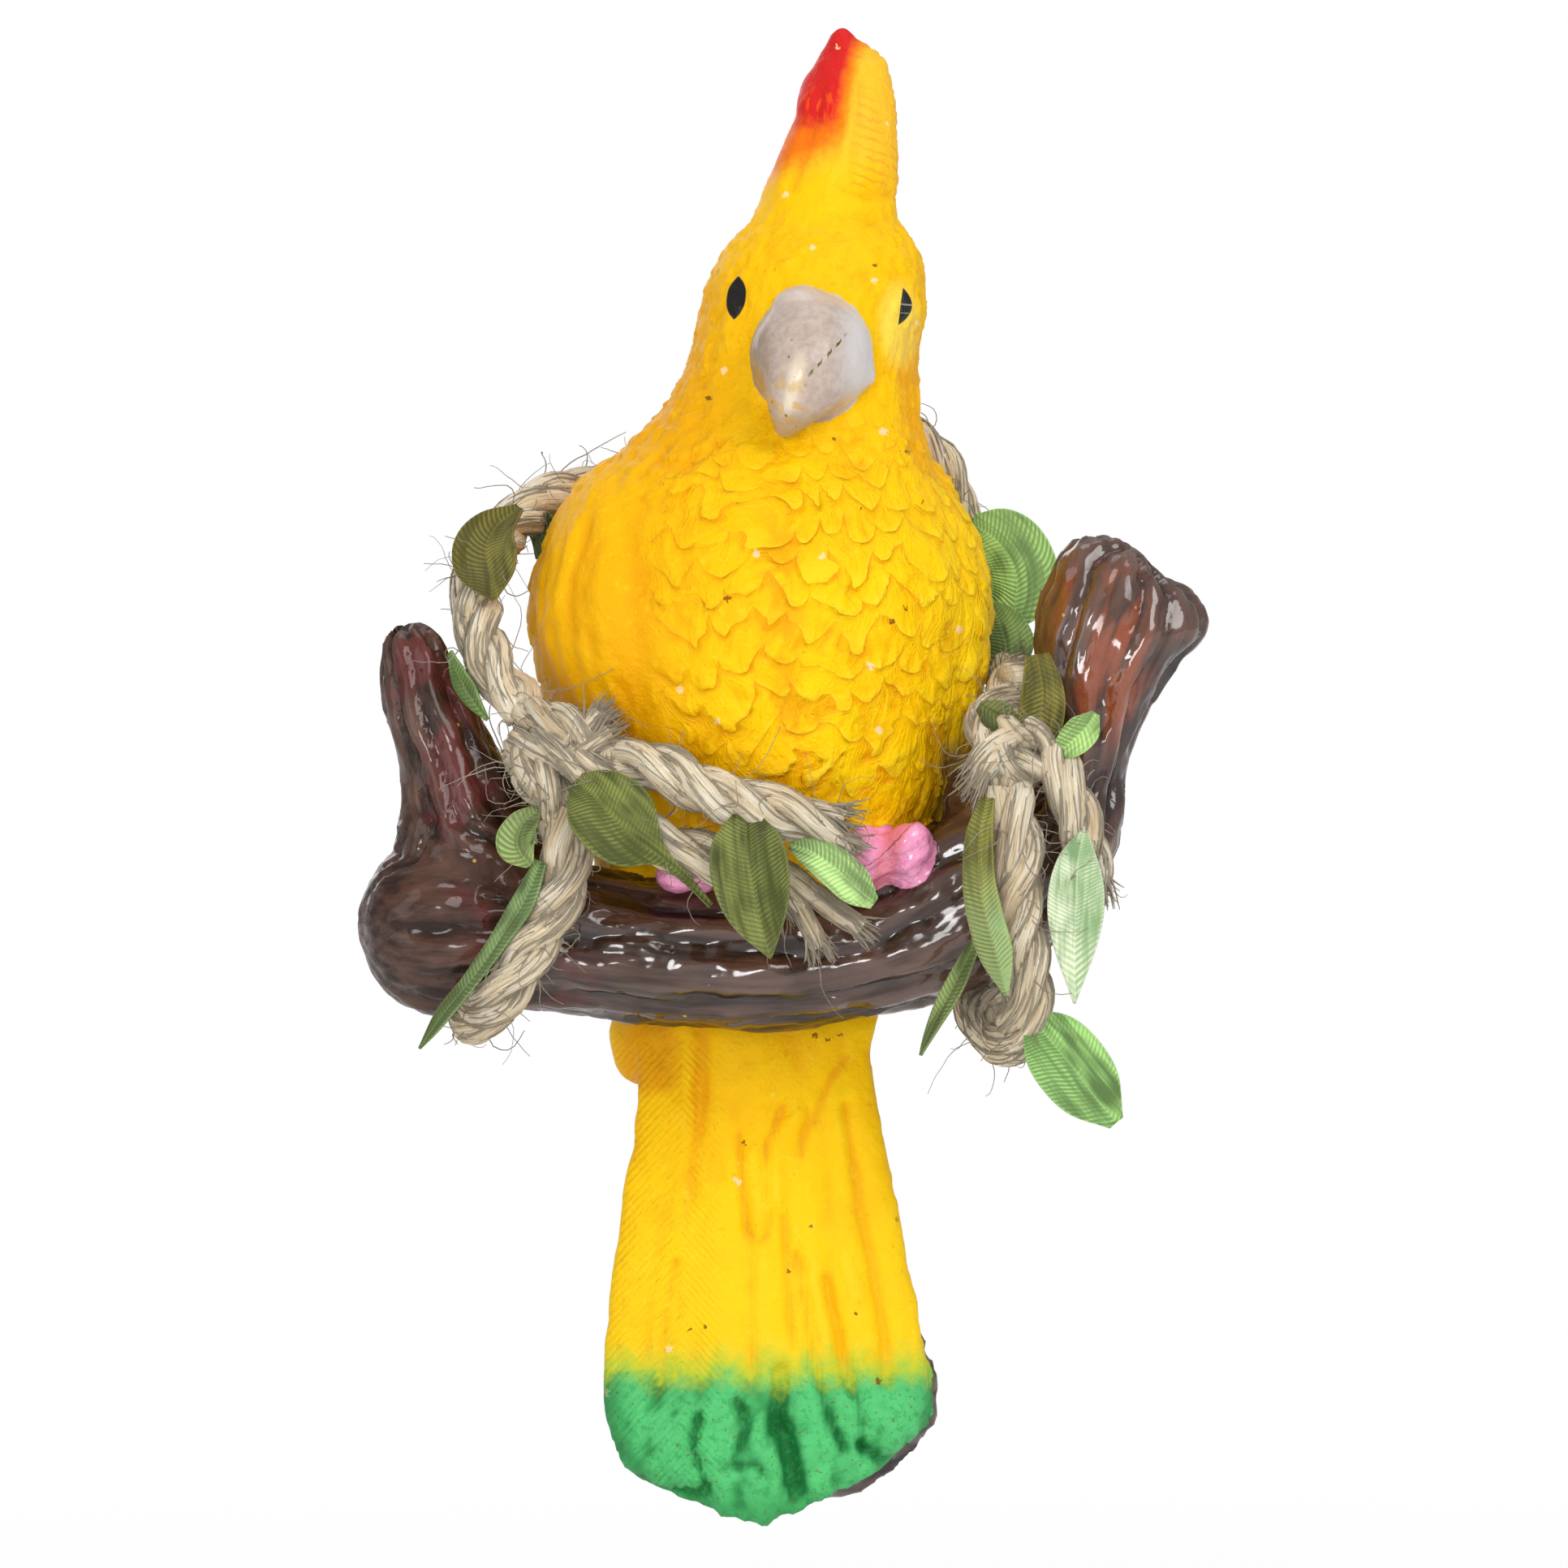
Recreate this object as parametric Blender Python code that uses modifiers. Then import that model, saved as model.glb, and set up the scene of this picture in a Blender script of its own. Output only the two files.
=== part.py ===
"""Cast and painted parrot on a branch, hung from a leafy jute twine.

Every size is in millimetres. Positions are first written in the perch frame: X to the
viewer's right, Y away from the viewer, Z up, zero on the branch's middle. One empty then
moves the whole ornament, so that the model's origin is the top of the twine's loop.
"""

import math

import bmesh
import bpy
from mathutils import Matrix, Vector

MM = 0.001
GAP = 0.35                      # clearance between pieces that lie against each other

# The bird's trunk, head and crest
BELLY_WIDTH = 43.4
BELLY_DEPTH = 40.4
BELLY_HEIGHT = 29.6             # middle of the breast above the branch's middle
HEAD_WIDTH = 20.1
HEAD_DEPTH = 23.5
HEAD_HEIGHT = 60.8
CREST_WIDTH = 10.8
CREST_DEPTH = 11.0
CREST_HEIGHT = 74.5
CREST_TIP = (7.4, 3.0, 85.5)
CREST_RED_DROP = 1.5            # how far the red reaches below CREST_HEIGHT
BODY_TURN = 16.0                # degrees that the breast is turned to the viewer's right
HEAD_TURN = 0.0
RUMP_END = 1.6                  # height of the rump's rounded lower end
NECK_SPAN = HEAD_HEIGHT - BELLY_HEIGHT
CROWN_SPAN = CREST_HEIGHT - HEAD_HEIGHT
TIP_SPAN = CREST_TIP[2] - CREST_HEIGHT
GIRTH_COLUMNS_BEHIND = 16       # places round the back, where there are no breast feathers

# The shingled breast feathers
SCALE_PITCH = 11.0              # degrees of girth that one feather takes
SCALE_HEIGHT = 4.1              # row height at the bottom row
SCALE_HEIGHT_TOP = 2.3          # row height at the top row
SCALES_FROM = 13.6
SCALES_TO = BELLY_HEIGHT + 0.654 * NECK_SPAN
SCALES_REACH = 60.5             # degrees from the breast's middle to the last feather
SCALE_LIP = 0.5                 # how far a feather's edge stands out
SCALE_STEP = 0.55               # height of the drop below that edge
SCALE_ROUND = 0.42              # roundness of the edge, as a part of the row height
BREAST_GROOVE = 0.6             # depth of the crease down the breast's middle
GROOVE_FROM = (BELLY_HEIGHT - 15.6, BELLY_HEIGHT - 7.6)    # heights where it sets in
GROOVE_TO = (BELLY_HEIGHT + 4.4, BELLY_HEIGHT + 14.4)      # heights where it fades out

# The wings
WING_LIFT = 1.0                 # how far a wing stands out from the trunk
WING_TIP_LIFT = 2.4
WING_ROOT_DEPTH = 1.6           # how far a wing reaches into the trunk
WING_FEATHERS = 5
WING_FEATHER_STEP = 0.55
# Between these heights the wing's lift leaves the outline, up to the bare neck
WING_COVER = (BELLY_HEIGHT + 0.333 * NECK_SPAN, BELLY_HEIGHT + 0.59 * NECK_SPAN)

# The tail
TAIL_FEATHERS = 7
TAIL_TOP = 4.0                  # hidden upper end inside the rump
TAIL_ROOT = -6.0
TAIL_ROOT_WIDTH = 21.6
TAIL_END_WIDTH = 30.6
TAIL_GREEN_FROM = -41.0         # height where the yellow turns green
TAIL_CORNER = -45.0             # height of the outer feathers' lower corners
TAIL_LENGTH_END = -54.5         # height of the middle feather's tip
TAIL_FRONT = 1.6
TAIL_BLADE_DEPTH = 4.0
TAIL_FEATHER_STEP = 0.55
TAIL_ROOT_BACK = 12.8           # back of the tail where it leaves the rump
TAIL_BACK = 8.2                 # back of the tail at its end
TAIL_BACK_CROWN = 2.6           # how much the brown back falls away at its sides
TAIL_BACK_SHIFT = 1.1           # the brown back shows this much past the right edge
TAIL_OVERLAP = 1.2              # how far the brown back reaches into the feathered front
TAIL_EDGE_ROUND = 0.8

# Beak, eyes and toes
BEAK_WIDTH = 11.4
BEAK_REACH = 8.0                # how far the beak stands out from the face
BEAK_TIP = (1.9, -16.4, HEAD_HEIGHT - 13.2)
EYE_SIZE = (2.1, 1.2, 4.0)
TOE_WIDTH = 3.0

# The branch
BRANCH_Y = -6.0
BARK_RIDGE = 0.35

# Twine and leaves
TWINE = 5.0
KNOT_SIZE = (8.8, 8.0, 8.4)
LEAF_THICKNESS = 0.4

BIRD_ROWS = (
    # height, middle x, half width and middle y, half depth; widths and depths are parts of
    # the belly's up to the neck, of the head's at the head, of the crest's above it
    ("belly", -14.0, -0.5, 0.50, 7.4, 0.26),
    ("belly", -6.0, -0.25, 0.565, 8.0, 0.346),
    ("belly", 2.0, 0.0, 0.668, 5.25, 0.605),
    ("belly", 11.0, 0.55, 0.786, 2.5, 0.815),
    ("belly", 20.0, 0.25, 0.910, 0.75, 0.951),
    ("belly", BELLY_HEIGHT, -0.3, 1.0, -0.25, 1.0),
    ("belly", BELLY_HEIGHT + 0.205 * NECK_SPAN, -0.15, 0.961, -0.5, 0.938),
    ("belly", BELLY_HEIGHT + 0.417 * NECK_SPAN, 0.25, 0.809, -0.5, 0.790),
    ("head", BELLY_HEIGHT + 0.609 * NECK_SPAN, 2.85, 1.229, 0.0, 1.106),
    ("head", BELLY_HEIGHT + 0.805 * NECK_SPAN, 4.4, 1.055, 0.25, 1.043),
    ("head", HEAD_HEIGHT, 5.25, 1.0, 0.25, 1.0),
    ("head", HEAD_HEIGHT + 0.358 * CROWN_SPAN, 6.1, 0.796, 0.75, 0.787),
    ("head", HEAD_HEIGHT + 0.569 * CROWN_SPAN, 6.1, 0.620, 1.0, 0.620),
    ("crest", CREST_HEIGHT, 7.3, 1.0, 1.0, 1.0),
    ("crest", CREST_HEIGHT + 0.618 * TIP_SPAN, 8.2, 0.667, 2.5, 0.636),
    ("crest", CREST_HEIGHT + 0.9 * TIP_SPAN, 8.0, 0.34, 3.1, 0.36),
)
GIRTH = {"belly": (BELLY_WIDTH / 2, BELLY_DEPTH / 2), "head": (HEAD_WIDTH / 2, HEAD_DEPTH / 2),
         "crest": (CREST_WIDTH / 2, CREST_DEPTH / 2)}
RUMP_HEIGHTS = (-12.6, -9.0, -5.0, -0.5, 4.5, 9.2)
HEAD_HEIGHTS = ([HEAD_HEIGHT - share * NECK_SPAN for share in (0.25, 0.167, 0.083)]
                + [HEAD_HEIGHT + share * CROWN_SPAN for share in (0.0, 0.175, 0.358, 0.569, 0.774)]
                + [CREST_HEIGHT + share * TIP_SPAN for share in (0.0, 0.318, 0.618, 0.791, 0.9)])

WING_ROWS = (
    # height, front edge and back edge in degrees from the breast's middle
    (45.0, 88.0, 108.0), (42.0, 66.0, 134.0), (37.0, 56.0, 148.0), (30.0, 52.0, 156.0),
    (22.0, 53.0, 161.0), (14.0, 60.0, 165.0), (7.0, 70.0, 168.0), (1.0, 82.0, 168.0),
    (-5.0, 98.0, 164.0), (-10.0, 112.0, 156.0), (-13.0, 124.0, 146.0),
)

BRANCH_SECTIONS = (
    # upper edge (x, z), lower edge (x, z), half depth
    ((-37.2, 3.9), (-37.1, -0.9), 2.9), ((-35.6, 7.4), (-35.3, -4.4), 6.0),
    ((-31.6, 9.6), (-30.8, -6.7), 8.0), ((-26.4, 9.0), (-25.9, -6.4), 7.9),
    ((-20.9, 7.8), (-21.6, -6.2), 7.1), ((-13.5, 6.3), (-13.9, -7.0), 6.8),
    ((-6.8, 5.3), (-6.8, -7.7), 6.6), ((0.0, 5.0), (0.0, -8.0), 6.5),
    ((6.0, 5.6), (6.1, -7.4), 6.5), ((11.6, 7.4), (12.8, -6.1), 6.7),
    ((15.8, 10.8), (19.2, -4.4), 7.4), ((20.2, 13.0), (26.0, -0.6), 7.2),
    ((23.8, 14.9), (31.2, 5.2), 6.0), ((26.6, 18.0), (34.0, 12.6), 4.6),
    ((26.6, 22.4), (35.6, 18.6), 4.5), ((25.4, 27.0), (38.0, 23.2), 5.4),
    ((26.0, 31.6), (40.6, 27.0), 5.6), ((27.6, 35.6), (41.0, 30.0), 4.8),
    ((29.6, 37.9), (39.8, 32.6), 3.0),
)
BRANCH_END_CAPS = ((-37.8, 1.5), (34.9, 35.6))
STUB_SECTIONS = (
    ((-34.6, 4.0), (-18.4, 4.0), 6.4), ((-34.4, 8.6), (-19.6, 8.2), 6.2),
    ((-33.2, 12.6), (-22.0, 12.2), 5.4), ((-33.6, 16.4), (-24.0, 16.4), 4.7),
    ((-34.7, 20.6), (-26.4, 20.8), 4.1), ((-35.2, 25.0), (-28.7, 25.3), 3.4),
    ((-35.0, 28.0), (-30.4, 28.3), 2.3),
)
STUB_END_CAPS = ((-26.5, 2.0), (-32.9, 29.6))

# Routes of the twine, each from its knot outwards; the points are chosen by eye
KNOT_LEFT = (-18.8, -14.8, 16.9)
KNOT_RIGHT = (21.8, -10.7, 18.3)
ROUTES = {
    "twine_hanger": (
        (-21.4, -12.4, 21.4), (-23.6, -10.6, 24.2), (-25.4, -8.2, 27.6), (-26.8, -5.4, 31.4),
        (-26.6, -2.4, 35.4), (-25.0, 1.6, 38.6), (-22.2, 6.2, 40.6), (-18.4, 10.8, 41.8),
        (-13.2, 14.4, 43.4), (-6.2, 16.6, 46.6), (2.0, 17.3, 49.0), (8.2, 16.4, 48.6),
        (12.4, 14.9, 47.2), (15.0, 13.8, 44.8), (16.4, 13.4, 42.0), (17.6, 13.5, 39.2),
        (18.9, 13.5, 35.6), (20.4, 12.6, 31.4), (21.9, 10.0, 27.6), (23.1, 6.4, 25.2),
        (24.0, 1.8, 24.4), (23.9, -2.6, 24.0), (22.8, -6.8, 23.4)),
    "twine_wrap_left": (
        (-18.5, -16.4, 12.0), (-18.0, -17.0, 9.0), (-18.1, -17.2, 6.0), (-19.2, -17.1, 3.2),
        (-20.6, -16.8, 0.6), (-22.2, -16.2, -2.2), (-24.0, -14.7, -5.2), (-25.8, -11.8, -8.1),
        (-27.2, -7.4, -9.8), (-27.6, -2.4, -9.3), (-27.0, 2.4, -6.0), (-25.8, 5.2, -1.2),
        (-24.6, 5.6, 3.6), (-23.2, 4.8, 8.2), (-21.8, 2.6, 12.2), (-21.2, -1.6, 15.4),
        (-21.1, -6.0, 17.0), (-21.0, -9.4, 17.2)),
    "twine_tail_left_long": (
        (-13.9, -16.6, 16.2), (-11.6, -18.4, 16.6), (-8.8, -19.4, 15.8), (-6.0, -19.8, 14.4),
        (-3.2, -19.8, 13.4), (-0.2, -19.6, 12.7), (3.0, -19.2, 11.7), (6.0, -18.5, 10.7),
        (8.6, -17.8, 9.8)),
    "twine_tail_left_short": (
        (-12.6, -17.2, 10.6), (-10.0, -17.8, 9.6), (-7.2, -18.0, 8.6), (-4.4, -17.8, 7.8),
        (-1.6, -17.4, 7.0), (1.2, -17.0, 6.0), (3.6, -16.6, 4.6), (5.4, -16.2, 2.8),
        (6.6, -15.8, 0.8)),
    "twine_loop_right": (
        (22.4, -14.7, 14.0), (23.1, -16.2, 11.4), (23.5, -16.6, 7.8), (23.5, -16.6, 3.8),
        (23.9, -16.2, -0.4), (24.4, -15.2, -4.4), (24.0, -13.2, -7.9), (22.8, -9.8, -9.7),
        (21.4, -5.6, -9.0), (20.4, -1.2, -6.4), (20.2, 3.0, -2.6), (20.4, 5.6, 2.4),
        (21.0, 5.8, 7.8), (21.9, 4.0, 12.8), (22.5, 0.2, 16.4), (22.6, -4.6, 17.8)),
    "twine_tail_right": (
        (27.5, -12.8, 18.1), (29.1, -14.3, 16.0), (30.6, -15.0, 13.2), (31.8, -15.0, 10.0),
        (32.5, -14.0, 6.8), (32.6, -12.8, 3.6)),
}

LEAVES = (
    # name, carrier, place on it, side it sits on, reach from root to tip, width, facing, bow
    ("leaf_shoulder_left", "twine_hanger", 5, (0.3, -0.93, 0.3), (-2.4, -8.2, -7.6), 6.6,
     (-0.3, -0.75, 0.6), 1.2),
    ("leaf_shoulder_behind", "twine_hanger", 6, (0.2, 0.4, -0.9), (0.2, 1.0, -5.2), 3.6,
     (-0.5, -0.85, 0.0), 0.3),
    ("leaf_edge_left", "twine_hanger", 2, (-0.9, -0.4, 0.2), (1.6, -1.8, -7.6), 3.2,
     (-0.8, -0.6, 0.0), 0.5),
    ("leaf_knot_left", "twine_wrap_left", 0, (-0.88, -0.48, 0.0), (-0.4, 0.6, -6.0), 3.6,
     (-0.5, -0.85, 0.0), 0.8),
    ("leaf_wrap_left", "twine_wrap_left", 2, (-0.9, -0.44, 0.0), (-10.4, 3.6, -16.0), 3.0,
     (-0.8, -0.6, 0.1), -0.4),
    ("leaf_knot_front", "knot_left", 0, (0.3, -0.92, -0.25), (8.6, -1.4, -9.0), 6.2,
     (0.0, -1.0, 0.15), 0.8),
    ("leaf_tail_hanging", "twine_tail_left_long", 4, (0.2, -0.78, -0.62), (3.4, 0.4, -12.2),
     7.0, (0.0, -1.0, 0.0), 0.9),
    ("leaf_tail_end", "twine_tail_left_long", 6, (0.2, -0.45, -0.88), (6.4, 1.4, -4.6), 3.2,
     (0.0, -1.0, 0.3), 0.4),
    ("leaf_right_upper", "twine_hanger", 15, (0.66, 0.75, 0.1), (5.8, 1.0, -9.6), 8.0,
     (0.0, -1.0, 0.0), -0.9),
    ("leaf_right_middle", "twine_hanger", 17, (0.6, 0.8, 0.0), (1.8, -0.6, -7.0), 5.2,
     (0.1, -1.0, 0.0), -0.3),
    ("leaf_knot_up", "twine_tail_right", 0, (0.1, -0.55, 0.83), (-0.6, -0.2, 6.6), 4.4,
     (0.0, -1.0, 0.0), 0.5),
    ("leaf_knot_side", "twine_tail_right", 0, (0.62, -0.55, 0.56), (3.2, -0.4, 3.2), 3.0,
     (0.0, -1.0, 0.2), 0.3),
    ("leaf_knot_behind", "knot_right", 0, (-0.45, -0.3, 0.84), (-1.6, -0.6, 3.0), 2.6,
     (-0.2, -1.0, 0.0), 0.2),
    ("leaf_loop_long", "twine_loop_right", 0, (-0.8, -0.6, 0.0), (1.9, -3.0, -19.0), 3.6,
     (-0.35, -0.95, 0.0), 1.2),
    ("leaf_loop_low", "twine_loop_right", 3, (-0.98, 0.2, 0.0), (-6.0, 1.0, -13.8), 2.4,
     (-0.7, -0.7, 0.1), 0.4),
    ("leaf_tail_right", "twine_tail_right", 3, (-0.8, -0.58, 0.15), (-1.0, -0.4, -15.4), 5.0,
     (0.0, -1.0, 0.0), 0.8),
    ("leaf_loop_end", "twine_loop_right", 6, (0.75, -0.64, -0.1), (6.6, 1.0, -8.0), 6.8,
     (0.0, -1.0, 0.0), 0.6),
)
LEAF_ROWS = 7
LEAF_COLUMNS = 4

ORIGIN = ROUTES["twine_hanger"][10]     # the top of the loop, which a nail or hook holds


def clear_scene():
    for thing in list(bpy.data.objects):
        bpy.data.objects.remove(thing)


def make_material(name, colour, roughness):
    material = bpy.data.materials.new(name)
    material.use_nodes = True
    shader = material.node_tree.nodes["Principled BSDF"]
    shader.inputs["Base Color"].default_value = (*colour, 1.0)
    shader.inputs["Roughness"].default_value = roughness
    shader.inputs["Metallic"].default_value = 0.0
    material.diffuse_color = (*colour, 1.0)
    return material


def smooth_step(low, high, value):
    share = min(max((value - low) / (high - low), 0.0), 1.0)
    return share * share * (3.0 - 2.0 * share)


def read_curve(knots, rows, at):
    """Rows of values read at one place of the smooth curve through them."""
    at = min(max(at, knots[0]), knots[-1])
    span = max(i for i in range(len(knots) - 1) if knots[i] <= at)

    def slope(i, column):
        if i == 0 or i == len(knots) - 1:
            near = 1 if i == 0 else i
            return (rows[near][column] - rows[near - 1][column]) / (knots[near] - knots[near - 1])
        return (rows[i + 1][column] - rows[i - 1][column]) / (knots[i + 1] - knots[i - 1])

    width = knots[span + 1] - knots[span]
    share = (at - knots[span]) / width
    values = []
    for column in range(len(rows[0])):
        start, end = rows[span][column], rows[span + 1][column]
        leave, arrive = slope(span, column) * width, slope(span + 1, column) * width
        values.append(start * (2 * share ** 3 - 3 * share ** 2 + 1)
                      + leave * (share ** 3 - 2 * share ** 2 + share)
                      + end * (3 * share ** 2 - 2 * share ** 3)
                      + arrive * (share ** 3 - share ** 2))
    return values


def bird_girth(height):
    """Middle x, half width, middle y and half depth of the bird at a height."""
    knots = [row[1] for row in BIRD_ROWS]
    rows = [(row[2], row[3] * GIRTH[row[0]][0], row[4], row[5] * GIRTH[row[0]][1])
            for row in BIRD_ROWS]
    return read_curve(knots, rows, height)


def bird_turn(height):
    """Degrees that the bird is turned at a height: the breast is turned, the head is not."""
    return BODY_TURN + (HEAD_TURN - BODY_TURN) * smooth_step(BELLY_HEIGHT, HEAD_HEIGHT, height)


def wing_cover(height):
    """How much of the wing's lift the outline holds at a height."""
    return 1.0 - smooth_step(*WING_COVER, height)


def bird_point(height, degrees, lift=0.0):
    """Point on the trunk, so many degrees from the breast's middle, raised by lift."""
    middle_x, half_width, middle_y, half_depth = bird_girth(height)
    half_width -= WING_LIFT * wing_cover(height)
    angle = math.radians(degrees + bird_turn(height))
    return Vector((middle_x + (half_width + lift) * math.sin(angle),
                   middle_y - (half_depth + lift) * math.cos(angle), height))


def add_mesh(name, build, material, group):
    """Object from a bmesh that build fills; its faces are turned outwards."""
    mesh = bpy.data.meshes.new(name)
    work = bmesh.new()
    build(work)
    bmesh.ops.recalc_face_normals(work, faces=work.faces)
    bmesh.ops.scale(work, vec=(MM, MM, MM), verts=work.verts)
    work.to_mesh(mesh)
    work.free()
    mesh.materials.append(material)
    mesh.shade_smooth()
    mesh.set_sharp_from_angle(angle=math.radians(40.0))
    thing = bpy.data.objects.new(name, mesh)
    group.objects.link(thing)
    return thing


def loft(work, rings, first_cap, last_cap):
    """Closed skin through rings of equally many points, closed by a point at each end."""
    made = [[work.verts.new(point) for point in ring] for ring in rings]
    count = len(made[0])
    for low, high in zip(made, made[1:]):
        for i in range(count):
            k = (i + 1) % count
            work.faces.new((low[i], low[k], high[k], high[i]))
    for ring, cap in ((made[0], first_cap), (made[-1], last_cap)):
        tip = work.verts.new(cap)
        for i in range(count):
            work.faces.new((ring[i], ring[(i + 1) % count], tip))


def scale_row_edges():
    """Heights of the feather rows' lower edges, closer together towards the neck."""
    edges = []
    edge = SCALES_FROM
    while edge < SCALES_TO:
        share = (edge - SCALES_FROM) / (SCALES_TO - SCALES_FROM)
        edges.append((edge, SCALE_HEIGHT + (SCALE_HEIGHT_TOP - SCALE_HEIGHT) * share))
        edge += edges[-1][1]
    return edges


def girth_columns():
    """Places round the girth: close over the feathers, wide over the back."""
    step = SCALE_PITCH / 4
    front = int(round(SCALES_REACH / step))
    places = [i * step for i in range(-front, front + 1)]
    gap = (360.0 - 2 * front * step) / GIRTH_COLUMNS_BEHIND
    return places + [front * step + gap * i for i in range(1, GIRTH_COLUMNS_BEHIND)]


def build_trunk(work):
    """Rump, shingled breast, head and crest in one skin."""
    columns = girth_columns()

    def groove(degrees, height):
        fade = smooth_step(*GROOVE_FROM, height) * (1.0 - smooth_step(*GROOVE_TO, height))
        return BREAST_GROOVE * fade * max(0.0, 1.0 - abs(degrees + 7.0) / 6.0)

    rings = [[bird_point(height, degrees) for degrees in columns] for height in RUMP_HEIGHTS]
    for number, (edge, row_height) in enumerate(scale_row_edges()):
        root, lip = [], []
        for degrees in columns:
            across = abs(degrees) if degrees <= 180.0 else 360.0 - degrees
            fade = 1.0 - smooth_step(SCALES_REACH - 10.0, SCALES_REACH, across)
            place = (degrees / SCALE_PITCH + 0.5 * (number % 2)) % 1.0
            middle = 1.0 - (2.0 * place - 1.0) ** 2
            height = edge - fade * SCALE_ROUND * row_height * middle
            sunk = groove(degrees, height)
            lip.append(bird_point(height, degrees, fade * SCALE_LIP * (0.5 + 0.5 * middle) - sunk))
            root.append(bird_point(height - SCALE_STEP, degrees, -sunk))
        rings += [root, lip]
    rings += [[bird_point(height, degrees) for degrees in columns] for height in HEAD_HEIGHTS]
    low = bird_girth(RUMP_HEIGHTS[0])
    loft(work, rings, (low[0], low[2], RUMP_HEIGHTS[0] - RUMP_END), CREST_TIP)


def build_wing(side):
    """A folded wing that hugs the trunk, with stepped flight feathers."""
    columns = 2 * WING_FEATHERS + 1

    def fill(work):
        outer, inner = [], []
        for number, (height, front, back) in enumerate(WING_ROWS):
            down = number / (len(WING_ROWS) - 1)
            out_row, in_row = [], []
            for i in range(columns):
                across = i / (columns - 1)
                degrees = side * (front + (back - front) * across)
                step = WING_FEATHER_STEP * (i % 2) * smooth_step(0.05, 0.5, down)
                edge = 0.45 if i in (0, columns - 1) or number in (0, len(WING_ROWS) - 1) else 1.0
                lift = WING_LIFT + (WING_TIP_LIFT - WING_LIFT) * smooth_step(0.6, 1.0, down)
                out_row.append(bird_point(height, degrees, edge * lift + step * edge))
                in_row.append(bird_point(height, degrees, -WING_ROOT_DEPTH))
            outer.append([work.verts.new(point) for point in out_row])
            inner.append([work.verts.new(point) for point in in_row])
        close_sheet(work, outer, inner)
    return fill


def close_sheet(work, front, back):
    """Closed solid between two grids of points of the same size."""
    rows, columns = len(front), len(front[0])
    for grid in (front, back):
        for r in range(rows - 1):
            for c in range(columns - 1):
                work.faces.new((grid[r][c], grid[r][c + 1], grid[r + 1][c + 1], grid[r + 1][c]))
    rim = ([(0, c) for c in range(columns)] + [(r, columns - 1) for r in range(1, rows)]
           + [(rows - 1, c) for c in range(columns - 2, -1, -1)]
           + [(r, 0) for r in range(rows - 2, 0, -1)])
    for (r, c), (r2, c2) in zip(rim, rim[1:] + rim[:1]):
        work.faces.new((front[r][c], front[r2][c2], back[r2][c2], back[r][c]))


def tail_share(height):
    """0 at the tail's root, where it leaves the rump, and 1 where the green begins."""
    return min(max((TAIL_ROOT - height) / (TAIL_ROOT - TAIL_GREEN_FROM), 0.0), 1.0)


def tail_half_width(height):
    return 0.5 * (TAIL_ROOT_WIDTH + (TAIL_END_WIDTH - TAIL_ROOT_WIDTH) * tail_share(height))


def tail_back_y(height):
    share = (TAIL_TOP - height) / (TAIL_TOP - TAIL_LENGTH_END)
    return TAIL_ROOT_BACK + (TAIL_BACK - TAIL_ROOT_BACK) * min(1.0, 1.25 * share)


def tail_end(across):
    """Height of the tail's lower edge at a place across it, from -1 to 1."""
    fan = 1.0 - abs(across) ** 3.2
    lobe = abs(math.sin(math.pi * (across + 1.0) / 2.0 * TAIL_FEATHERS))
    return TAIL_CORNER + (TAIL_LENGTH_END - TAIL_CORNER) * fan ** 0.8 - 0.5 * lobe ** 0.7 + 0.5


def build_tail(is_front, shift, columns, rows_above, rows_below):
    """A fan from the rump to the lobed tips: the feathered front or the plain back."""

    def fill(work):
        front, back = [], []
        for r in range(rows_above + rows_below + 1):
            front_row, back_row = [], []
            for c in range(columns + 1):
                across = 2.0 * c / columns - 1.0
                if r <= rows_above:
                    height = TAIL_TOP + (TAIL_GREEN_FROM - TAIL_TOP) * r / rows_above
                else:
                    below = (r - rows_above) / rows_below
                    height = TAIL_GREEN_FROM + (tail_end(across) - TAIL_GREEN_FROM) * below
                x = across * tail_half_width(height) + 0.3 + shift * (0.3 + 0.7 * max(across, 0.0))
                y = TAIL_FRONT + TAIL_FEATHER_STEP * abs(across) * (TAIL_FEATHERS // 2)
                if is_front:
                    feather = abs(math.sin(math.pi * c * TAIL_FEATHERS / columns))
                    relief = 0.3 + 0.7 * smooth_step(TAIL_ROOT, TAIL_GREEN_FROM, height)
                    y -= TAIL_FEATHER_STEP * feather * relief
                    y_behind = y + TAIL_BLADE_DEPTH
                else:
                    y += TAIL_BLADE_DEPTH - TAIL_OVERLAP
                    crown = TAIL_BACK_CROWN * across ** 4
                    y_behind = max(tail_back_y(height) - crown, y + 3 * TAIL_EDGE_ROUND)
                lowest = r == rows_above + rows_below
                rounding = TAIL_EDGE_ROUND if lowest or c in (0, columns) else 0.0
                front_row.append(work.verts.new((x, y + rounding, height)))
                back_row.append(work.verts.new((x, y_behind - rounding, height)))
            front.append(front_row)
            back.append(back_row)
        close_sheet(work, front, back)
    return fill


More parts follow.
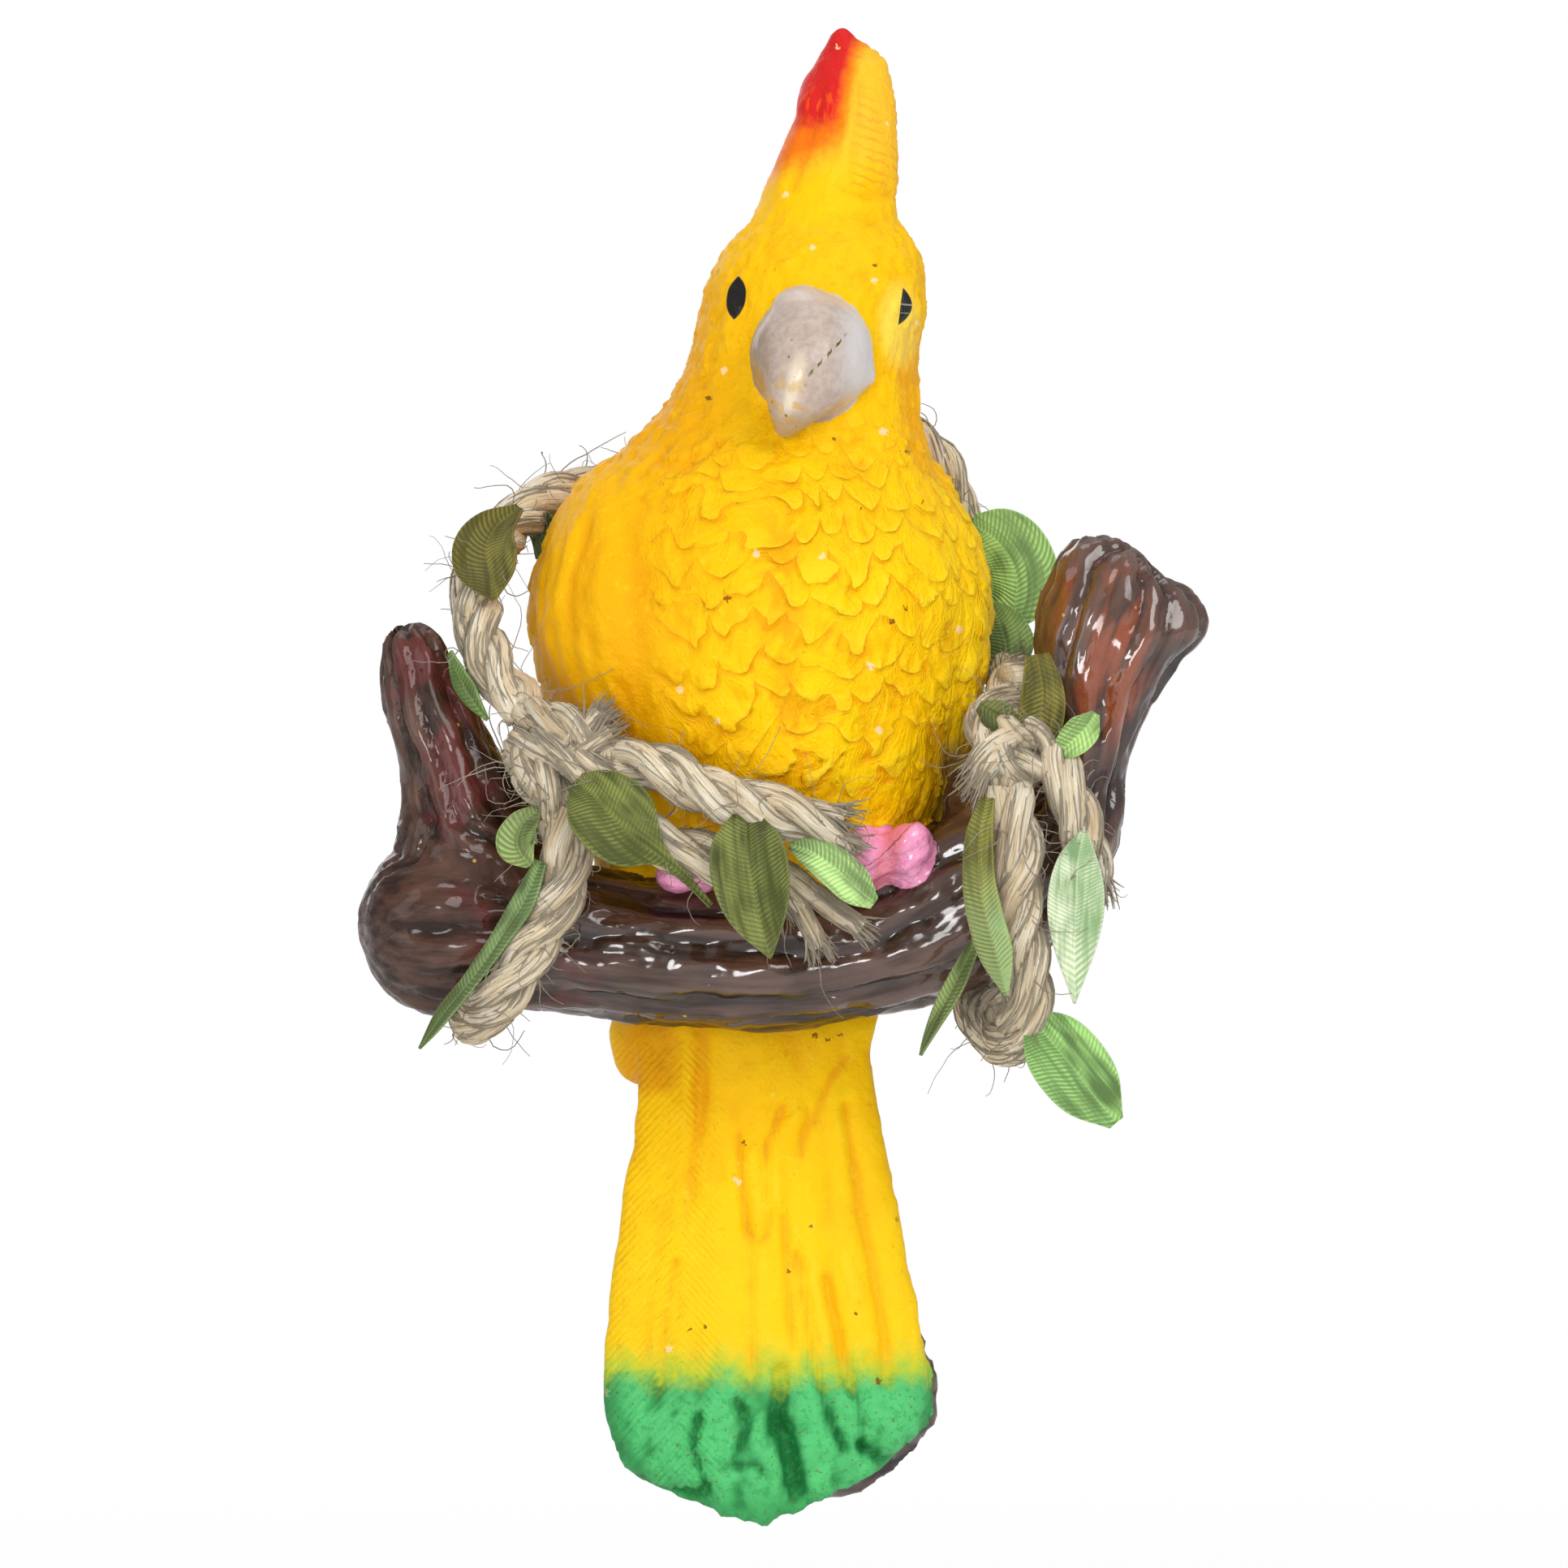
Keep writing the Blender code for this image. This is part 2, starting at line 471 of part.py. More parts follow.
def build_limb(sections, caps, middle_y, count=20):
    """Ridged limb through sections that are given by their two edges and half depth."""
    def fill(work):
        rings = []
        for number, (upper, lower, depth) in enumerate(sections):
            middle = Vector(((upper[0] + lower[0]) / 2, middle_y, (upper[1] + lower[1]) / 2))
            reach = Vector(((upper[0] - lower[0]) / 2, 0.0, (upper[1] - lower[1]) / 2))
            ring = []
            for i in range(count):
                angle = 2.0 * math.pi * i / count
                ridge = 1.0 + BARK_RIDGE / depth * (-1) ** (i + number // 5)
                ring.append(middle + (reach * math.cos(angle)
                                      + Vector((0.0, -depth * math.sin(angle), 0.0))) * ridge)
            rings.append(ring)
        (x1, z1), (x2, z2) = caps
        loft(work, rings, (x1, middle_y, z1), (x2, middle_y, z2))
    return fill


def ellipsoid(name, middle, size, turn_z, material, group, steps=(14, 9)):
    """A round lump from a sphere primitive."""
    def fill(work):
        bmesh.ops.create_uvsphere(work, u_segments=steps[0], v_segments=steps[1], radius=0.5)
        shape = Matrix.Translation(middle) @ Matrix.Rotation(math.radians(turn_z), 4, "Z")
        bmesh.ops.transform(work, matrix=shape @ Matrix.Diagonal((*size, 1.0)), verts=work.verts)
    return add_mesh(name, fill, material, group)


def tube(name, points, diameter, material, group, sides=2, radii=None):
    """Round bar along points, from a bevelled curve that is then made a mesh."""
    curve = bpy.data.curves.new(name, "CURVE")
    curve.dimensions = "3D"
    curve.bevel_depth = diameter / 2 * MM
    curve.bevel_resolution = sides
    curve.use_fill_caps = True
    spline = curve.splines.new("POLY")
    spline.points.add(len(points) - 1)
    for number, (place, point) in enumerate(zip(spline.points, points)):
        place.co = (*(Vector(point) * MM), 1.0)
        place.radius = radii[number] if radii else 1.0
    guide = bpy.data.objects.new(name + "_guide", curve)
    group.objects.link(guide)
    bpy.context.view_layer.update()
    mesh = bpy.data.meshes.new_from_object(guide.evaluated_get(
        bpy.context.evaluated_depsgraph_get()))
    work = bmesh.new()
    work.from_mesh(mesh)
    bmesh.ops.remove_doubles(work, verts=work.verts, dist=0.00001)
    bmesh.ops.recalc_face_normals(work, faces=work.faces)
    work.to_mesh(mesh)
    work.free()
    thing = bpy.data.objects.new(name, mesh)
    thing.matrix_world = guide.matrix_world
    group.objects.link(thing)
    bpy.data.objects.remove(guide)
    mesh.name = name
    mesh.materials.clear()
    mesh.materials.append(material)
    mesh.shade_smooth()
    return thing


def smooth_route(points, step):
    """Points about a step apart on the smooth curve through a route."""
    reach = [0.0]
    for before, after in zip(points, points[1:]):
        reach.append(reach[-1] + (Vector(after) - Vector(before)).length)
    count = max(2, int(round(reach[-1] / step)))
    return [Vector(read_curve(reach, points, reach[-1] * i / count)) for i in range(count + 1)]


def build_leaf(root, reach, width, facing, bow):
    """A pointed ribbon leaf: a shallow trough from root to tip."""
    length = reach.length
    along = reach.normalized()
    across = along.cross(facing).normalized()
    out = across.cross(along).normalized()
    if out.dot(facing) < 0.0:
        out = -out

    def fill(work):
        grid = []
        for r in range(LEAF_ROWS + 1):
            down = r / LEAF_ROWS
            half = 0.5 * width * max(0.16, math.sin(math.pi * (0.06 + 0.90 * down)) ** 0.8)
            spine = root + along * length * down + out * bow * math.sin(math.pi * down)
            grid.append([work.verts.new(
                spine + across * half * side + out * 0.10 * width * (side * side - 0.5))
                for side in [2.0 * c / LEAF_COLUMNS - 1.0 for c in range(LEAF_COLUMNS + 1)]])
        for r in range(LEAF_ROWS):
            for c in range(LEAF_COLUMNS):
                work.faces.new((grid[r][c], grid[r][c + 1], grid[r + 1][c + 1], grid[r + 1][c]))
    return fill


def add_leaves(group, material):
    carriers = {name: (points, TWINE / 2) for name, points in ROUTES.items()}
    carriers["knot_left"] = ((KNOT_LEFT,), max(KNOT_SIZE) / 2)
    carriers["knot_right"] = ((KNOT_RIGHT,), max(KNOT_SIZE) / 2)
    leaves = []
    for name, carrier, place, side, reach, width, facing, bow in LEAVES:
        points, radius = carriers[carrier]
        root = Vector(points[place]) + Vector(side).normalized() * (
            radius + GAP + 0.05 * width + LEAF_THICKNESS / 2)
        leaf = add_mesh(name, build_leaf(root, Vector(reach), width, Vector(facing), bow),
                        material, group)
        shell = leaf.modifiers.new("cloth", "SOLIDIFY")
        shell.thickness = LEAF_THICKNESS * MM
        shell.offset = 0.0
        leaves.append(leaf)
    return leaves


def paint_zone(thing, material, inside):
    """Give the faces whose middle lies inside a zone another material."""
    thing.data.materials.append(material)
    slot = len(thing.data.materials) - 1
    for face in thing.data.polygons:
        if inside(face.center / MM):
            face.material_index = slot


def is_red(place):
    """The crest's red side: the viewer's left of a slanting edge."""
    above = place.z - CREST_HEIGHT
    return above > -CREST_RED_DROP and place.x < CREST_TIP[0] - 4.7 + 0.87 * above


def add_casting(group, operands, paints):
    """The one-piece casting: bird and branch joined by unions."""
    trunk = add_mesh("parrot_casting", build_trunk, paints["yellow"], group)
    paint_zone(trunk, paints["red"], is_red)
    pieces = []
    for side, word in ((-1, "left"), (1, "right")):
        pieces.append(add_mesh("wing_" + word, build_wing(side), paints["yellow"], operands))
    tail = add_mesh("tail_front", build_tail(True, 0.0, 4 * TAIL_FEATHERS, 7, 4),
                    paints["yellow"], operands)
    paint_zone(tail, paints["green"], lambda p: p.z < TAIL_GREEN_FROM)
    pieces.append(tail)
    pieces.append(add_mesh("tail_back", build_tail(False, TAIL_BACK_SHIFT, 14, 6, 4),
                           paints["bark"], operands))
    pieces.append(add_mesh("branch", build_limb(BRANCH_SECTIONS, BRANCH_END_CAPS, BRANCH_Y),
                           paints["bark"], operands))
    pieces.append(add_mesh("stub_left", build_limb(STUB_SECTIONS, STUB_END_CAPS, BRANCH_Y, 16),
                           paints["bark"], operands))
    pieces += add_face(operands, paints)
    pieces += add_toes(operands, paints)
    for piece in pieces:
        piece.hide_render = True
        piece.display_type = "WIRE"
        union = trunk.modifiers.new("join_" + piece.name, "BOOLEAN")
        union.operation = "UNION"
        union.solver = "EXACT"
        union.material_mode = "TRANSFER"
        union.object = piece
    return trunk, pieces


def add_face(group, paints):
    """Hooked beak, lower beak, cere and the two painted eyes."""
    face_y = bird_girth(HEAD_HEIGHT)[2] - HEAD_DEPTH / 2
    front = face_y - BEAK_REACH
    tip = Vector(BEAK_TIP)
    middle_x = bird_girth(HEAD_HEIGHT)[0] - 0.7
    top = HEAD_HEIGHT - 4.2
    spine = [(middle_x, face_y + 3.4, top), (middle_x, face_y - 1.8, top - 0.4),
             (middle_x - 0.3, face_y - 4.4, top - 1.7), (middle_x - 0.8, front + 2.2, top - 3.8),
             (middle_x - 1.5, front + 1.9, top - 6.0), (tip.x + 0.5, tip.y - 0.2, tip.z + 1.3),
             tuple(tip)]
    shares = [0.86, 0.98, 0.90, 0.72, 0.52, 0.30, 0.10]
    beak = tube("beak_upper", spine, BEAK_WIDTH, paints["beak"], group, 4, shares)
    lower = ellipsoid("beak_lower", (middle_x + 1.9, face_y - 0.9, tip.z + 3.3), (6.4, 6.0, 5.0), 0.0,
                      paints["beak"], group)
    cere = ellipsoid("beak_cere", (middle_x - 0.2, face_y - 0.9, top + 3.6), (6.4, 4.6, 3.6), 0.0,
                     paints["beak"], group)
    eyes = []
    for word, degrees, height in (("left", -50.0, HEAD_HEIGHT - 0.5), ("right", 52.0, HEAD_HEIGHT - 1.2)):
        place = bird_point(height, degrees)
        eyes.append(ellipsoid("eye_" + word, place, EYE_SIZE, degrees, paints["eye"], group,
                              (10, 7)))
    return [beak, lower, cere] + eyes


def add_toes(group, paints):
    """Toes of both feet, hooked over the front of the branch."""
    toes = []
    for word, xs in (("left", (-8.2, -5.2)), ("right", (9.4, 12.0, 14.4))):
        for number, x in enumerate(xs):
            rise = 0.06 * x
            route = [(x, BRANCH_Y + 1.0, 6.8 + rise), (x, BRANCH_Y - 3.4, 7.6 + rise),
                     (x, BRANCH_Y - 5.4, 6.4 + rise), (x, BRANCH_Y - 6.5, 4.4 + rise)]
            toes.append(tube("toe_%s_%d" % (word, number + 1), route, TOE_WIDTH, paints["foot"],
                             group, 2, [1.2, 1.3, 1.1, 0.7]))
    return toes


def main():
    clear_scene()
    ornament = bpy.data.collections.new("parrot_ornament")
    operands = bpy.data.collections.new("union_operands")
    for group in (ornament, operands):
        bpy.context.scene.collection.children.link(group)
    paints = {
        "yellow": make_material("yellow_paint", (0.93, 0.52, 0.01), 0.45),
        "red": make_material("red_paint", (0.80, 0.08, 0.02), 0.45),
        "green": make_material("green_paint", (0.05, 0.42, 0.12), 0.45),
        "beak": make_material("grey_paint", (0.50, 0.45, 0.44), 0.35),
        "eye": make_material("black_paint", (0.01, 0.01, 0.012), 0.3),
        "foot": make_material("pink_paint", (0.85, 0.19, 0.38), 0.5),
        "bark": make_material("brown_paint", (0.045, 0.022, 0.016), 0.3),
    }
    jute = make_material("jute", (0.50, 0.38, 0.23), 0.9)
    satin = make_material("green_satin", (0.16, 0.30, 0.06), 0.4)

    hang_point = bpy.data.objects.new("hang_point", None)
    hang_point.location = -Vector(ORIGIN) * MM
    ornament.objects.link(hang_point)

    casting, pieces = add_casting(ornament, operands, paints)
    things = [casting] + pieces
    for name, points in ROUTES.items():
        things.append(tube(name, smooth_route(points, TWINE), TWINE, jute, ornament))
    for name, place in (("knot_left", KNOT_LEFT), ("knot_right", KNOT_RIGHT)):
        things.append(ellipsoid(name, place, KNOT_SIZE, 0.0, jute, ornament, (16, 10)))
    things += add_leaves(ornament, satin)
    for thing in things:
        thing.parent = hang_point


main()
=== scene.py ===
import math

import bpy
import numpy as np
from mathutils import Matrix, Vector
from mathutils.bvhtree import BVHTree


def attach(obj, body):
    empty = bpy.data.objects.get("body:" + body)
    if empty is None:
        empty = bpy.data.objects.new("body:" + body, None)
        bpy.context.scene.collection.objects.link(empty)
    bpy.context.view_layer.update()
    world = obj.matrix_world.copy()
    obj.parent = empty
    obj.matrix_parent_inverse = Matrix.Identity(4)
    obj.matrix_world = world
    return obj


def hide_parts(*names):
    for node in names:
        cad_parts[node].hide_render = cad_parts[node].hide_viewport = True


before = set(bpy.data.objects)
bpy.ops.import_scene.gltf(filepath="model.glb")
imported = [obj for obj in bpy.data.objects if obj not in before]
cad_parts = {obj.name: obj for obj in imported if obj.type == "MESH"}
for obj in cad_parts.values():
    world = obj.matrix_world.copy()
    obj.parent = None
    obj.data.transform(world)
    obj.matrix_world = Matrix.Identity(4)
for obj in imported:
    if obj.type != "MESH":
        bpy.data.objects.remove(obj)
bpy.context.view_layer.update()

# All places below are in millimetres, measured from the middle of the branch:
# X to the viewer's right, Y away from the viewer, Z up. The loop's top is the model's origin.
mm = 0.001
loopTop = np.array((2.0, 17.3, 49.0))


def toWorld(points):
    return (np.asarray(points, float) - loopTop) * mm


def smoothStep(low, high, value):
    share = np.clip((value - low) / (high - low), 0.0, 1.0)
    return share * share * (3.0 - 2.0 * share)


def wobble(points, size, seed, layers=3):
    # a smooth random field of about -1 to 1, made of waves in random directions
    rng = np.random.default_rng(seed)
    total = np.zeros(len(points))
    for layer in range(layers):
        waves = rng.normal(size=(8, 3))
        waves *= 2 * np.pi / size * 1.9 ** layer / np.linalg.norm(waves, axis=1)[:, None]
        phases = rng.uniform(0, 2 * np.pi, 8)
        total += np.sin(points @ waves.T + phases).sum(1) * 0.27 * 0.6 ** layer
    return total


def curveThrough(knots, rows, at):
    # rows of values read from the smooth curve through them
    knots, rows = np.asarray(knots, float), np.asarray(rows, float)
    slopes = np.empty_like(rows)
    slopes[1:-1] = (rows[2:] - rows[:-2]) / (knots[2:] - knots[:-2])[:, None]
    slopes[0] = (rows[1] - rows[0]) / (knots[1] - knots[0])
    slopes[-1] = (rows[-1] - rows[-2]) / (knots[-1] - knots[-2])
    at = np.clip(np.asarray(at, float), knots[0], knots[-1])
    span = np.clip(np.searchsorted(knots, at, side="right") - 1, 0, len(knots) - 2)
    width = (knots[span + 1] - knots[span])[:, None]
    s = ((at - knots[span]) / width[:, 0])[:, None]
    return (rows[span] * (2 * s ** 3 - 3 * s ** 2 + 1) + slopes[span] * width * (s ** 3 - 2 * s ** 2 + s)
            + rows[span + 1] * (3 * s ** 2 - 2 * s ** 3) + slopes[span + 1] * width * (s ** 3 - s ** 2))


def lengthAlong(line):
    return np.concatenate(([0.0], np.cumsum(np.linalg.norm(np.diff(line, axis=0), axis=1))))


def lineThrough(points, step):
    # points a step apart on the smooth curve through a route
    points = np.asarray(points, float)
    reach = lengthAlong(points)
    count = max(3, int(round(reach[-1] / step)))
    return curveThrough(reach, points, np.linspace(0, reach[-1], count + 1))


def unit(vectors):
    return vectors / np.maximum(np.linalg.norm(vectors, axis=-1, keepdims=True), 1e-9)


def carryFrames(line):
    # two directions across a line, carried along it without twist
    along = unit(np.gradient(line, axis=0))
    across = np.empty_like(line)
    first = np.array((0.0, 0.0, 1.0))
    if abs(first @ along[0]) > 0.9:
        first = np.array((1.0, 0.0, 0.0))
    for i, direction in enumerate(along):
        first = unit(first - direction * (first @ direction))
        across[i] = first
    return along, across, np.cross(along, across)


# working with Blender
def deselectAll():
    if bpy.context.mode != "OBJECT":
        bpy.ops.object.mode_set(mode="OBJECT")
    bpy.ops.object.select_all(action="DESELECT")


def pick(piece):
    deselectAll()
    piece.select_set(True)
    bpy.context.view_layer.objects.active = piece


def linkNew(name, data):
    made = bpy.data.objects.new(name, data)
    bpy.context.scene.collection.objects.link(made)
    return made


def applyModifier(piece, kind, **settings):
    pick(piece)
    modifier = piece.modifiers.new(kind.lower(), kind)
    for key, value in settings.items():
        setattr(modifier, key, value)
    bpy.ops.object.modifier_apply(modifier=modifier.name)


def readPoints(piece):
    values = np.empty(len(piece.data.vertices) * 3, np.float32)
    piece.data.vertices.foreach_get("co", values)
    return values.reshape(-1, 3).astype(float)


def writePoints(piece, points):
    piece.data.vertices.foreach_set("co", np.asarray(points, np.float32).ravel())
    piece.data.update()


def tubeStack(name, rings):
    # circles set on top of each other and bridged, then each laid where its section goes
    count = len(rings[0])
    deselectAll()
    bpy.ops.mesh.primitive_circle_add(vertices=count, radius=1.0)
    piece = bpy.context.object
    piece.name = name
    bpy.ops.object.mode_set(mode="EDIT")
    for level in range(1, len(rings)):
        bpy.ops.mesh.primitive_circle_add(vertices=count, radius=1.0, location=(0, 0, 0.5 * level))
    bpy.ops.mesh.select_all(action="SELECT")
    bpy.ops.mesh.bridge_edge_loops()
    bpy.ops.mesh.select_all(action="DESELECT")
    bpy.ops.mesh.select_non_manifold()
    bpy.ops.mesh.edge_face_add()
    bpy.ops.object.mode_set(mode="OBJECT")
    writePoints(piece, toWorld(np.concatenate(rings)))
    faceOutwards(piece)
    return piece


def faceOutwards(piece):
    pick(piece)
    bpy.ops.object.mode_set(mode="EDIT")
    bpy.ops.mesh.select_all(action="SELECT")
    bpy.ops.mesh.normals_make_consistent(inside=False)
    bpy.ops.object.mode_set(mode="OBJECT")


def roundLump(name, middle, size, turn=(0.0, 0.0, 0.0)):
    deselectAll()
    bpy.ops.mesh.primitive_uv_sphere_add(segments=32, ring_count=16, radius=0.5)
    piece = bpy.context.object
    piece.name = name
    piece.scale = np.asarray(size) * mm
    piece.rotation_euler = [math.radians(a) for a in turn]
    piece.location = toWorld(middle)
    bpy.ops.object.transform_apply(location=True, rotation=True, scale=True)
    return piece


def joinPieces(name, pieces):
    pick(pieces[0])
    for piece in pieces:
        piece.select_set(True)
    bpy.ops.object.join()
    joined = bpy.context.object
    joined.name = name
    return joined


def meshFrom(name, points, faces, grain=None):
    # a mesh from points in millimetres; grain gives each point its place along and across
    mesh = bpy.data.meshes.new(name)
    mesh.from_pydata(toWorld(points), [], faces)
    piece = linkNew(name, mesh)
    if grain is not None:
        layer = mesh.attributes.new("grain", "FLOAT_VECTOR", "POINT")
        layer.data.foreach_set("vector", np.asarray(grain, np.float32).ravel())
    mesh.update()
    pick(piece)
    bpy.ops.object.shade_smooth()
    return piece


def finishPiece(piece, material, nodes):
    piece.data.materials.clear()
    piece.data.materials.append(material)
    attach(piece, "root")
    if nodes:
        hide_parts(*nodes)


# shader sums written as expressions
class Wire:
    def __init__(self, finish, socket):
        self.finish, self.socket = finish, socket

    def sum(self, operation, *values):
        return self.finish.node("Math", {"operation": operation}, dict(enumerate(values)))

    def __add__(self, other):
        return self.sum("ADD", self, other)

    def __sub__(self, other):
        return self.sum("SUBTRACT", self, other)

    def __rsub__(self, other):
        return self.sum("SUBTRACT", other, self)

    def __mul__(self, other):
        return self.sum("MULTIPLY", self, other)

    def __truediv__(self, other):
        return self.sum("DIVIDE", self, other)

    def __pow__(self, other):
        return self.sum("POWER", self, other)

    __radd__ = __add__
    __rmul__ = __mul__

    def fraction(self):
        return self.sum("FRACT", self)

    def whole(self):
        return self.sum("FLOOR", self)

    def sine(self):
        return self.sum("SINE", self)

    def size(self):
        return self.sum("ABSOLUTE", self)

    def least(self, other):
        return self.sum("MINIMUM", self, other)

    def most(self, other):
        return self.sum("MAXIMUM", self, other)

    def over(self, other):
        return self.sum("GREATER_THAN", self, other)

    def step(self, low, high):
        # smooth 0 to 1 between two values
        return self.finish.node("MapRange", {"interpolation_type": "SMOOTHSTEP"},
                                {"Value": self, "From Min": low, "From Max": high})


class Finish:
    def __init__(self, name, constants):
        self.material = bpy.data.materials.new(name)
        self.material.use_nodes = True
        self.tree = self.material.node_tree
        self.shader = self.tree.nodes["Principled BSDF"]
        for key, value in constants.items():
            self.shader.inputs[key].default_value = value

    def node(self, kind, settings=None, sockets=None, output=0):
        made = self.tree.nodes.new("ShaderNode" + kind)
        for key, value in (settings or {}).items():
            if key == "stops":
                while len(made.color_ramp.elements) < len(value):
                    made.color_ramp.elements.new(1.0)
                for element, (place, colour) in zip(made.color_ramp.elements, value):
                    element.position, element.color = place, (*colour, 1.0)
            else:
                setattr(made, key, value)
        for key, value in (sockets or {}).items():
            socket = made.inputs[key]
            if isinstance(value, Wire):
                self.tree.links.new(value.socket, socket)
            elif socket.type == "RGBA":
                socket.default_value = (*value[:3], 1.0)
            else:
                socket.default_value = value
        return Wire(self, made.outputs[output])

    def blend(self, share, low, high):
        return self.node("Mix", {"data_type": "RGBA"}, {0: share, 6: low, 7: high}, 2)

    def coats(self, base, *layers):
        # colours laid over each other, each as far as its share goes
        for share, colour in layers:
            base = self.blend(share, base, colour)
        return base

    def noise(self, place, scale, detail=2.0, rough=0.5):
        return self.node("TexNoise", None,
                         {"Vector": place, "Scale": scale, "Detail": detail, "Roughness": rough})

    def distance(self, place, point):
        return self.node("VectorMath", {"operation": "DISTANCE"}, {0: place, 1: point}, 1)

    def stretch(self, place, by, shift=(0.0, 0.0, 0.0)):
        return self.node("VectorMath", {"operation": "MULTIPLY_ADD"}, {0: place, 1: by, 2: shift})

    def apart(self, vector):
        return [self.node("SeparateXYZ", None, {0: vector}, i) for i in range(3)]

    def objectPlace(self):
        # place on the piece in millimetres, from the middle of the branch
        return self.stretch(self.node("TexCoord", None, None, 3), (1000.0,) * 3, tuple(loopTop))

    def attribute(self, name):
        return self.node("Attribute", {"attribute_name": name}, None, 1)

    def bump(self, height, distance):
        return self.node("Bump", None, {"Height": height, "Distance": distance, "Strength": 1.0})

    def feed(self, **values):
        for key, value in values.items():
            self.tree.links.new(value.socket, self.shader.inputs[key.replace("_", " ")])


def tone(*colour):
    # a colour as a screen shows it, 0 to 255
    return tuple(((c / 255 + 0.055) / 1.055) ** 2.4 if c > 10 else c / 255 / 12.92 for c in colour)


# the camera looks along Y from the front
view = {"aim": (1.98, 0.0, 14.7), "distance": 800.0, "across": 146.8}


def addCamera():
    sight = bpy.data.cameras.new("camera")
    sight.sensor_fit = "HORIZONTAL"
    sight.sensor_width = 36.0
    sight.lens = 36.0 * view["distance"] / view["across"]
    camera = linkNew("camera", sight)
    x, y, z = view["aim"]
    camera.location = toWorld((x, y - view["distance"], z))
    camera.rotation_euler = (math.radians(90.0), 0.0, 0.0)
    bpy.context.scene.camera = camera


addCamera()
print("camera placed")

# jute twine: three plies laid round each other, with loose fibres
jute = {"diameter": 5.0, "plies": 3, "pitch": 15.0, "plyRadius": 1.36, "plyOffset": 1.12, "step": 0.55,
        "sides": 14, "fibresPerMm": 3.4, "hairsPerMm": 2.2, "hairsOnTurn": 70, "longestHair": 9.0}

routes = {
    "twine_hanger": (
        (-21.6, -12.4, 21.2), (-23.9, -10.6, 24.1), (-25.9, -8.2, 27.8), (-26.8, -5.4, 31.6),
        (-26.2, -2.4, 35.2), (-24.1, 1.8, 38.6), (-21, 6.6, 41.2), (-17.4, 11.2, 42.4), (-12.8, 14.6, 43.9),
        (-6.2, 16.6, 46.6), (2, 17.3, 49), (8.4, 16.4, 48.8), (13.4, 15.1, 47.6), (16.3, 14.2, 45.2),
        (17.9, 13.8, 42.2), (18.8, 13.7, 39.2), (19.6, 13.6, 35.6), (20.6, 12.6, 31.4), (21.9, 10, 27.6),
        (23.1, 6.4, 25.2), (24, 1.8, 24.4), (23.9, -2.6, 24), (22.8, -6.8, 23.4)),
    "twine_wrap_left": (
        (-18.5, -16.4, 12), (-18, -17, 9), (-18.1, -17.2, 6), (-19.2, -17.1, 3.2), (-20.6, -16.8, 0.6),
        (-22.2, -16.3, -2.2), (-24, -14.9, -4.6), (-25.4, -11.8, -6.2), (-26.6, -7.2, -7), (-27, -2.2, -6.8),
        (-26.8, 2.4, -4.8), (-25.8, 5.2, -1.2), (-24.6, 5.6, 3.6), (-23.2, 4.8, 8.2), (-21.8, 2.6, 12.2),
        (-21.2, -1.6, 15.4), (-21.1, -6, 17), (-21, -9.4, 17.2)),
    "twine_tail_left_long": (
        (-13.9, -16.6, 16.2), (-11.6, -18.4, 16.6), (-8.8, -19.4, 15.8), (-6, -19.8, 14.4),
        (-3.2, -19.8, 13.4), (-0.2, -19.6, 12.7), (3, -19.2, 11.7), (6, -18.5, 10.7), (8.6, -17.8, 9.8)),
    "twine_tail_left_short": (
        (-12.6, -17.2, 10.6), (-10, -17.8, 9.6), (-7.2, -18, 8.6), (-4.4, -17.8, 7.8), (-1.6, -17.4, 7),
        (1.2, -17, 6), (3.6, -16.6, 4.6), (5.4, -16.2, 2.8), (6.6, -15.8, 0.8)),
    "twine_loop_right": (
        (22.4, -14.7, 14), (23.1, -16.2, 11.4), (23.5, -16.6, 7.8), (23.5, -16.6, 3.8), (23.9, -16.2, -0.4),
        (24.4, -15.2, -4.2), (24, -13.2, -7.3), (22.8, -9.8, -8.9), (21.4, -5.6, -8.4), (20.4, -1.2, -6.4),
        (20.2, 3, -2.6), (20.4, 5.6, 2.4), (21, 5.8, 7.8), (21.9, 4, 12.8), (22.5, 0.2, 16.4),
        (22.6, -4.6, 17.8)),
    "twine_tail_right": (
        (26.6, -13, 17.7), (27.5, -14.4, 15.6), (28.7, -15.2, 12.8), (29.6, -15.2, 9.8), (30.2, -14.4, 6.8),
        (30.4, -13.4, 4)),
}


def tubeSkin(line, radii, sides, turn=0.0):
    # points, faces and places of one closed tube along a line
    _, first, second = carryFrames(line)
    angles = np.arange(sides) * 2 * np.pi / sides
    ring = (np.cos(angles)[None, :, None] * first[:, None] + np.sin(angles)[None, :, None] * second[:, None])
    radii = np.asarray(radii, float)
    if radii.ndim == 1:
        radii = np.repeat(radii[:, None], sides, axis=1)
    points = (line[:, None] + ring * radii[:, :, None]).reshape(-1, 3)
    reach = lengthAlong(line)
    grain = np.stack([np.repeat(reach, sides), np.tile(np.sin(angles), len(line)) + turn,
                      np.tile(np.cos(angles), len(line)) + turn], axis=1)
    n = len(line)
    base = np.arange(n - 1)[:, None] * sides
    k = np.arange(sides)[None]
    quads = np.stack([base + k, base + (k + 1) % sides, base + sides + (k + 1) % sides, base + sides + k], -1)
    faces = [tuple(q) for q in quads.reshape(-1, 4).tolist()]
    faces.append(tuple(range(sides))[::-1])
    faces.append(tuple(range((n - 1) * sides, n * sides)))
    return points, faces, grain


